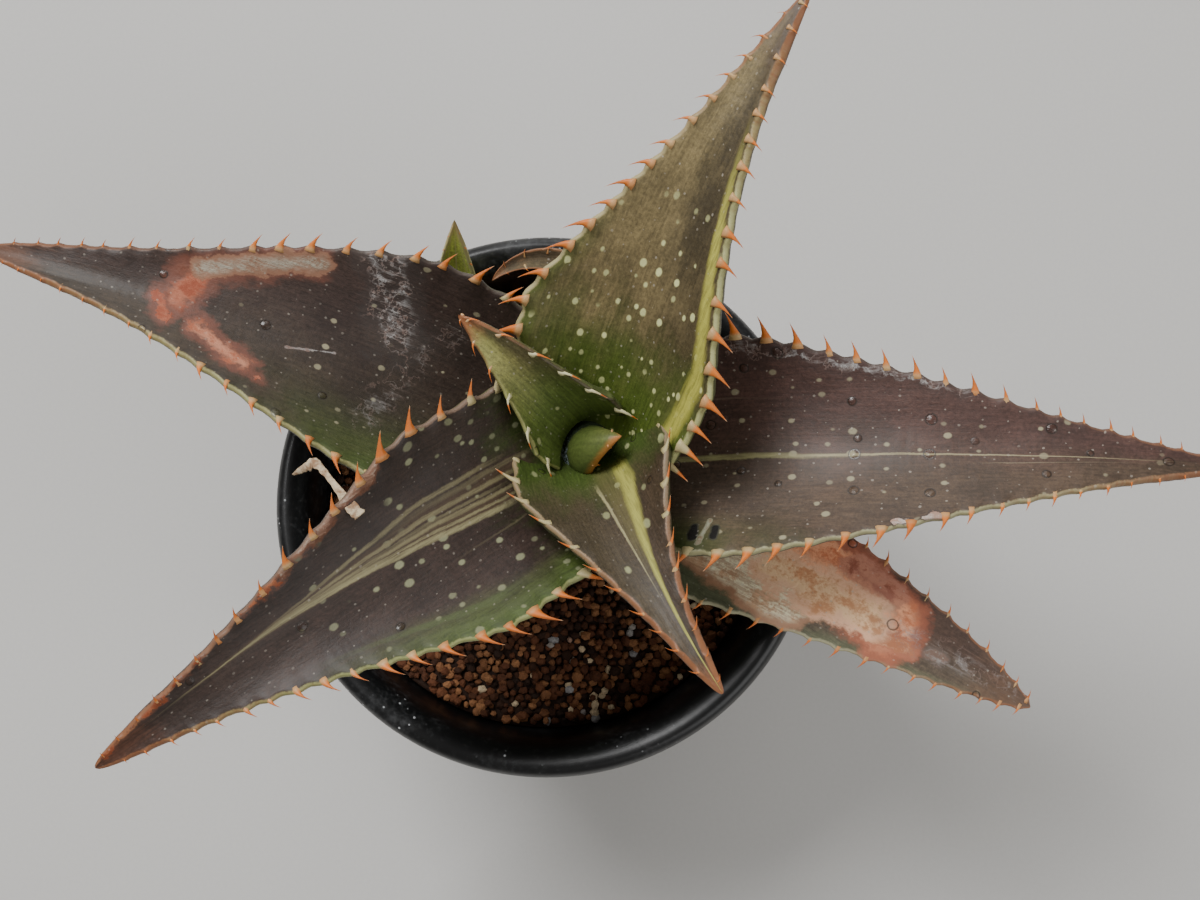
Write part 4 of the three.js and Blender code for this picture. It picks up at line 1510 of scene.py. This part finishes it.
def leaf_top() -> LeafPiece:
    """Returns the upright spotted leaf with a yellow stripe along its right margin."""
    form = LeafForm(
        root=(2, 2, 30), heading=71, bend=-12, hook=-3, rise=(60, 38, 15), length=108.5, half_width=24.5,
        cup=(76, 41, 48), thickness=8.5, neck=0.63, widest=0.34, belly=1.05, taper=2, blunt=0.22, roll=-8,
        twist=-12,
    )
    streaks = (
        Streak(-0.8, 0.13, 0.12, 0.8, (0.56, 0.53, 0.10), strength=1.0),
    )
    # The left half is painted far lighter than the right: partly the leaf's own olive, partly painted light
    # where the lamp shines on it.
    finish = LeafFinish(
        "striped_leaf", heart=(0.070, 0.105, 0.014), outer_left=(0.150, 0.118, 0.055),
        outer_right=(0.062, 0.048, 0.024), tip=(0.085, 0.045, 0.03), under=UNDER_GREEN, green_start=0.12,
        green_end=0.42, spots=Spots((0.86, 0.88, 0.42), 3.9, 0.6, 1.2, 0.6, 1.0), edge_green=(1, 0.3, 0.5),
        lighter=1.9, drops=0.06, left_rim=Rim((0.46, 0.40, 0.20), 0.5),
        right_rim=Rim((0.46, 0.46, 0.20), 0.55), streaks=streaks,
    )
    teeth = Teeth(first=0.16, scale=1.1, seed=14, lean_left=3.2, lean_right=1.2, splay=0.8)
    return LeafPiece("leaf_top", form, finish, teeth)


def fanned_streaks() -> tuple[Streak, ...]:
    """Returns the pale streaks of the lower left leaf, which fan at its base and meet two thirds along it."""
    strips = (
        (0.3, 0.075, 0.85, STREAK_BROWN, 0.7), (0.78, 0.09, 0.85, STREAK_BROWN, 0.85),
        (-0.05, 0.03, 0.75, STREAK_TAUPE, 0.8), (0.12, 0.035, 0.5, STREAK_TAUPE, 0.5),
        (0.36, 0.028, 0.9, STREAK_TAUPE, 0.9), (0.52, 0.02, 0.6, STREAK_TAUPE, 0.6),
        (0.64, 0.026, 0.95, STREAK_TAUPE, 0.95), (0.8, 0.018, 0.85, STREAK_CREAM, 0.7),
        (0.95, 0.036, 0.8, STREAK_CREAM, 0.9),
    )
    fan = [
        Streak(-0.37 + 0.47 * part, half, 0.13 + 0.04 * (index % 3), end, colour, 0.0, -0.9 * part, strength)
        for index, (part, half, end, colour, strength) in enumerate(strips)
    ]
    return (
        *fan,
        Streak(0.2, 0.012, 0.2, 0.4, STREAK_TAUPE, drift=0.05, strength=0.5),
        Streak(0.72, 0.05, 0.3, 0.66, (0.075, 0.10, 0.03), strength=0.7),
        Streak(0.86, 0.03, 0.25, 0.6, (0.09, 0.115, 0.035), strength=0.6),
    )


def leaf_lower_left() -> LeafPiece:
    """Returns the broad dark leaf with the fan of pale streaks."""
    form = LeafForm(
        root=(-1, -1, 28), heading=214, bend=-1, hook=2, rise=(48, 18, -12), length=122.7, half_width=24.2,
        cup=(66, 38, 63), thickness=9, neck=0.92, widest=0.36, belly=1.15, taper=2.1, blunt=0.33, twist=-20,
    )
    scars = (
        Scar(
            (-1.0, 0.42), (-1.0, 0.6), 0.9, (0.48, 0.40, 0.32), (0.20, 0.07, 0.03), 1.0, 1.0, 0.8,
            Crust.STRIATED,
        ),
        Scar((-1.0, 0.62), (-0.97, 0.97), 0.4, (0.34, 0.12, 0.05), (0.12, 0.045, 0.025), 1.0),
    )
    finish = LeafFinish(
        "dark_leaf", heart=LEAF_GREEN, outer_left=(0.029, 0.0175, 0.0135),
        outer_right=(0.028, 0.0175, 0.0135), tip=(0.10, 0.04, 0.022), under=UNDER_GREEN, green_start=0.06,
        green_end=0.24, edge_green=(1, 0.45, 0.58), spots=Spots((0.32, 0.33, 0.19), 4.3, 0.68, 1.0, 0.62),
        dust=0.3, left_rim=Rim((0.32, 0.34, 0.13), 0.5), right_rim=Rim((0.20, 0.13, 0.09), 0.4),
        streaks=fanned_streaks(), scars=scars,
    )
    teeth = Teeth(first=0.16, scale=1.05, seed=15, lean_left=2.2, lean_right=1.2)
    return LeafPiece("leaf_lower_left", form, finish, teeth)


def leaf_right() -> LeafPiece:
    """Returns the long dark leaf with the pale mid stripe."""
    form = LeafForm(
        root=(0, -2, 20), heading=-0.5, bend=-3.5, hook=1.5, rise=(42, 12, -10), length=139.5,
        half_width=25.5, cup=(72, 20, 47), thickness=9, neck=0.7, widest=0.27, belly=1.3, taper=1.75,
        blunt=0.2, roll=-8, twist=-3.5,
    )
    streaks = (
        Streak(-0.055, 0.034, 0.1, 0.5, (0.36, 0.34, 0.15), drift=0.07, strength=0.95),
        Streak(-0.055, 0.018, 0.35, 0.95, (0.42, 0.36, 0.2), drift=0.08, strength=0.9),
        Streak(-0.02, 0.012, 0.55, 0.95, (0.34, 0.28, 0.18), drift=0.03, strength=0.6),
        Streak(-0.16, 0.012, 0.62, 0.9, (0.34, 0.28, 0.18), strength=0.6),
        Streak(0.5, 0.012, 0.14, 0.38, (0.24, 0.18, 0.13), strength=0.6),
    )
    scars = (
        Scar((-0.95, 0.5), (-0.98, 0.56), 0.6, (0.62, 0.56, 0.5), (0.06, 0.04, 0.03), 0.5, 0.8),
        Scar((0.97, 0.25), (0.97, 0.6), 1.2, CRUST_GREY, (0.04, 0.024, 0.02), 2.0, 1.0, 0.8, Crust.SCRIBBLED),
        # Two small torn holes with a pale strut between them: the holes are painted black, a painted shade in
        # place of real openings.
        Scar((-0.74, 0.228), (-0.86, 0.231), 0.95, PIT_SHADE_BLACK, (0.05, 0.05, 0.03), 0.3, 0.25),
        Scar((-0.74, 0.258), (-0.85, 0.26), 0.85, PIT_SHADE_BLACK, (0.05, 0.05, 0.03), 0.3, 0.2),
        Scar((-0.66, 0.246), (-0.92, 0.242), 0.5, (0.34, 0.34, 0.24), (0.26, 0.26, 0.17), 0.2, 0.2),
    )
    finish = LeafFinish(
        "dark_leaf", heart=LEAF_GREEN, outer_left=(0.062, 0.032, 0.026), outer_right=(0.064, 0.042, 0.027),
        tip=(0.15, 0.07, 0.045), under=UNDER_GREEN, green_start=0.03, green_end=0.14,
        edge_green=(-1, 0.55, 0.32), spots=Spots(BUFF_SPOT, 4.8, 0.58, 0.8, 0.85), drops=0.26, dust=0.5,
        left_rim=DARK_RIM, right_rim=Rim((0.40, 0.38, 0.20), 0.45), streaks=streaks, scars=scars,
    )
    teeth = Teeth(first=0.18, scale=1.0, seed=16, lean_left=1.2, lean_right=1.5)
    return LeafPiece("leaf_right", form, finish, teeth)


def leaf_left() -> LeafPiece:
    """Returns the cupped dark leaf with the salmon scars and the pale crust."""
    form = LeafForm(
        root=(-4, -1, 13), heading=154, bend=18.5, hook=-6.5, rise=(40, 14, -8), length=135.5,
        half_width=27.8, cup=(88, 34, 57), thickness=9, neck=0.82, widest=0.34, belly=1.55, taper=2.9,
        blunt=0.37, roll=4, twist=2,
    )
    scars = (
        Scar((-0.85, 0.52), (-0.55, 0.69), 2.9, (0.36, 0.17, 0.105), DEEP_SALMON, 2.6, 1.2, 0.9),
        Scar((-0.5, 0.67), (0.1, 0.7), 3.4, SALMON, DEEP_SALMON, 3.0, 1.4, 0.9),
        Scar((0.1, 0.72), (0.5, 0.7), 1.6, SALMON, DEEP_SALMON, 2.4, 1.2, 0.9),
        Scar((0.42, 0.65), (0.6, 0.57), 2.3, (0.58, 0.25, 0.15), DEEP_SALMON, 2.2, 1.3, 0.95),
        Scar((0.66, 0.545), (0.66, 0.54), 1.2, SALMON, DEEP_SALMON, 1.8, 1.0, 0.9),
        Scar((-0.84, 0.51), (-0.66, 0.67), 2.5, BUFF, (0.30, 0.15, 0.09), 0.6, 0.9, 1.0, Crust.STRIATED),
        Scar(
            (-1.0, 0.44), (-0.3, 0.37), 5.0, CRUST_GREY, (0.07, 0.06, 0.055), 3.0, 1.6, 1.0,
            Crust.SCRIBBLED,
        ),
        Scar(
            (-0.5, 0.3), (0.5, 0.38), 3.4, CRUST_GREY, (0.05, 0.045, 0.035), 2.0, 1.6, 0.45,
            Crust.SCRIBBLED,
        ),
        Scar((0.15, 0.52), (0.02, 0.45), 0.3, CRUST_GREY, (0.08, 0.06, 0.05), 0.2, 0.3, 0.7),
    )
    finish = LeafFinish(
        "dark_leaf", heart=LEAF_GREEN, outer_left=(0.036, 0.026, 0.017), outer_right=(0.034, 0.021, 0.017),
        tip=BROWN_TIP, under=UNDER_GREEN, green_start=0.05, green_end=0.2, edge_green=(1, 0.85, 0.5),
        spots=Spots(BUFF_SPOT, 5.0, 0.5, 0.4, 0.6), dust=0.35, left_rim=Rim((0.38, 0.36, 0.15), 0.55),
        right_rim=DARK_RIM, scars=scars,
    )
    teeth = Teeth(first=0.2, scale=0.95, seed=17, lean_left=2.0, lean_right=1.6)
    return LeafPiece("leaf_left", form, finish, teeth)


def leaf_lower_right() -> LeafPiece:
    """Returns the lowest leaf, with the large pale scar."""
    form = LeafForm(
        root=(-1, -3, 11), heading=-25.3, bend=-6.9, rise=(30, 8, -8), length=109.5, half_width=19,
        cup=(57, 14, 30), thickness=6.5, neck=0.8, widest=0.27, belly=0.7, taper=0.8, blunt=0.37,
    )
    scars = (
        # The two palest scars carry painted highlights in their colours.
        Scar((0.1, 0.15), (-0.35, 0.48), 8.6, WHITE_SCAR_WITH_HIGHLIGHT, (0.45, 0.24, 0.14), 1.6, 0.9, 1.0, Crust.STRIATED),
        Scar((0.35, 0.5), (-0.1, 0.68), 7.8, (1.0, 0.46, 0.25), (0.42, 0.13, 0.07), 2.6, 1.3),
        Scar((0.55, 0.58), (0.45, 0.66), 2.6, (0.42, 0.16, 0.11), (0.55, 0.25, 0.17), 1.8, 1.2, 0.85),
        Scar((0.5, 0.4), (-0.35, 0.46), 0.5, (0.60, 0.22, 0.07), (0.42, 0.16, 0.06), 0.5, 1.2, 0.8),
        Scar((-0.55, 0.66), (-0.4, 0.73), 1.8, (0.80, 0.44, 0.26), (0.50, 0.18, 0.10), 1.8, 1.2),
        Scar((-0.1, 0.44), (-0.15, 0.64), 4.6, CREAM_SCAR_WITH_HIGHLIGHT, (0.95, 0.58, 0.37), 2.4, 1.6),
        Scar((-0.2, 0.78), (-0.2, 0.8), 1.4, (0.34, 0.31, 0.28), (0.16, 0.12, 0.1), 0.8, 0.6, 0.8),
        Scar((-0.1, 0.7), (0.3, 0.95), 4.0, CRUST_GREY, (0.07, 0.045, 0.035), 2.0, 1.6, 0.5, Crust.SCRIBBLED),
    )
    finish = LeafFinish(
        "scarred_leaf", heart=(0.08, 0.09, 0.05), outer_left=(0.060, 0.036, 0.026),
        outer_right=(0.085, 0.065, 0.045), tip=(0.15, 0.085, 0.05), under=UNDER_GREEN, green_start=0.35,
        green_end=0.55, edge_green=(-1, 0.3, 0.9), spots=Spots(BUFF_SPOT, 6.0, 0.5, 0.3, 0.9),
        left_rim=Rim((0.2, 0.12, 0.08), 0.5), right_rim=Rim((0.42, 0.40, 0.25), 0.6), scars=scars,
    )
    teeth = Teeth(first=0.3, scale=0.65, seed=18, last=0.995, tip=0.65)
    return LeafPiece("leaf_lower_right", form, finish, teeth)


def leaf_withered() -> LeafPiece:
    """Returns the shrunken leaf at the back."""
    form = LeafForm(
        root=(2, 6.5, 12), heading=64, bend=56, hook=112, rise=(26, 15, 4), length=60, half_width=4.6,
        cup=(60, 72, 64), thickness=1.8, neck=0.9, widest=0.4, belly=2.2, taper=0.8, blunt=0.4, twist=-14,
        ripple=1.6,
    )
    finish = LeafFinish(
        "dry_leaf", heart=(0.08, 0.07, 0.035), outer_left=(0.09, 0.07, 0.035),
        outer_right=(0.07, 0.05, 0.03), tip=(0.3, 0.14, 0.06), under=(0.10, 0.08, 0.045), green_start=0.2,
        green_end=0.5, spots=Spots((0.3, 0.25, 0.15), 5.0, 0.6, 0.2, 0.9),
        left_rim=Rim((0.25, 0.15, 0.08), 0.6), right_rim=Rim((0.25, 0.15, 0.08), 0.6), roughness=0.6,
    )
    teeth = Teeth(first=0.5, scale=0.55, seed=19)
    return LeafPiece("leaf_withered", form, finish, teeth, rings=140, facets=32)


LEAVES = (
    leaf_innermost, leaf_young, leaf_centre, leaf_top, leaf_lower_left, leaf_right, leaf_left,
    leaf_lower_right, leaf_withered,
)


# Painted light: the pup's greens are brighter than its own skin, for the light that passes through its thin
# leaves.
PUP_FINISH = LeafFinish(
    "pup_leaf", heart=(0.42, 0.52, 0.09), outer_left=(0.5, 0.6, 0.12), outer_right=(0.5, 0.6, 0.12),
    tip=(0.36, 0.24, 0.10), under=(0.5, 0.6, 0.13), green_start=0.2, green_end=0.6, dust=0.1, drops=0.0,
    spots=Spots((0.5, 0.5, 0.3), 6.0, 0.4, 0.15, 0.6),
    streaks=(
        Streak(0.0, 0.07, 0.1, 1.1, (0.66, 0.68, 0.26), strength=0.9),
        Streak(0.55, 0.08, 0.1, 1.1, (0.62, 0.64, 0.22), strength=0.9),
        Streak(-0.55, 0.08, 0.1, 1.1, (0.62, 0.64, 0.22), strength=0.9),
    ),
    left_rim=Rim((0.62, 0.60, 0.30), 0.9), right_rim=Rim((0.62, 0.60, 0.30), 0.9), rim_tip=(0.55, 0.38, 0.16),
    rim_turn=0.95,
)


@dataclass(frozen=True)
class Lamp:
    """A square soft light, with its place and size in metres and its power in watts."""

    name: str
    at: Triple
    size: float
    power: float


@dataclass
class Studio:
    """A plain pale floor, soft lights and a camera at the photograph's viewing angle."""

    lamps: tuple[Lamp, ...] = (
        Lamp("key", (-0.45, 0.55, 1.05), 0.5, 14.0),
        Lamp("fill", (0.8, -0.5, 0.8), 0.9, 5.0),
        Lamp("back", (0.1, 1.2, 0.5), 0.8, 3.5),
    )
    sky: Colour = (1.0, 0.97, 0.93)
    sky_strength: float = 0.27
    camera_at: Triple = (0.0117, -0.0269, 0.46)
    camera_tilt: float = 6.0
    lens: float = 50.0
    sensor: float = 36.0
    clip: tuple[float, float] = (0.01, 20.0)
    aim: Triple = (0.0, 0.0, 0.1)
    floor_size: float = 4.0
    floor_gap: float = 0.0002
    floor_dark: Colour = (0.60, 0.59, 0.57)
    floor_light: Colour = (0.64, 0.63, 0.61)

    def build(self) -> None:
        """Adds the floor, the lights, the world and the camera."""
        self._floor()
        for lamp in self.lamps:
            self._light(lamp)
        world = bpy.data.worlds.new("studio")
        world.use_nodes = True
        background = world.node_tree.nodes["Background"]
        background.inputs["Color"].default_value = (*self.sky, 1.0)
        background.inputs["Strength"].default_value = self.sky_strength
        bpy.context.scene.world = world
        lens = bpy.data.cameras.new("camera")
        lens.lens, lens.sensor_width = self.lens, self.sensor
        lens.clip_start, lens.clip_end = self.clip
        camera = bpy.data.objects.new("camera", lens)
        camera.location = self.camera_at
        camera.rotation_euler = (math.radians(self.camera_tilt), 0.0, 0.0)
        bpy.context.scene.collection.objects.link(camera)
        bpy.context.scene.camera = camera

    def _light(self, lamp: Lamp) -> None:
        """Adds a light that faces the plant."""
        data = bpy.data.lights.new(lamp.name, "AREA")
        data.size, data.energy = lamp.size, lamp.power
        light = bpy.data.objects.new(lamp.name, data)
        light.location = lamp.at
        way = Vector(self.aim) - Vector(lamp.at)
        light.rotation_euler = way.to_track_quat("-Z", "Y").to_euler()
        bpy.context.scene.collection.objects.link(light)

    def _floor(self) -> None:
        """Adds the floor, just under the pot."""
        bm = bmesh.new()
        bmesh.ops.create_grid(bm, x_segments=1, y_segments=1, size=self.floor_size / 2)
        mesh = bpy.data.meshes.new("floor")
        bm.to_mesh(mesh)
        bm.free()
        floor = bpy.data.objects.new("floor", mesh)
        floor.location = (0.0, 0.0, -self.floor_gap)
        bpy.context.scene.collection.objects.link(floor)
        graph = Graph(floor, "floor_paper", {})
        fine = graph.grain(graph.place(), 900.0, 2.0)
        colour = graph.mix(fine, self.floor_dark, self.floor_light)
        graph.finish(colour, 0.75 + fine * 0.1, fine, 0.0001, 0.1)
        floor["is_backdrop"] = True


def as_lists(box: Callable[[], Sequence[Vector]]) -> list[list[float]]:
    """Returns a box's two corners as plain lists."""
    return [list(corner) for corner in box()]


def main() -> None:
    """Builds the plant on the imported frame."""
    logging.basicConfig(level=logging.INFO, format="%(name)s: %(message)s")
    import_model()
    before = as_lists(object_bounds)
    Studio().build()
    pot = Pot(PotFinish())
    leaves = [leaf() for leaf in LEAVES]
    assemblies = (
        pot, Soil(SoilFinish(), pot), Stem(StemFinish()), *leaves, Shred(DryFinish()), Pup(PUP_FINISH)
    )
    for assembly in assemblies:
        for piece in assembly.build():
            LOG.info("%s: %d faces", piece.name, len(piece.data.polygons))
    json.dumps({"cad": before, "visual": as_lists(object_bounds)})


if __name__ == "__main__":
    main()
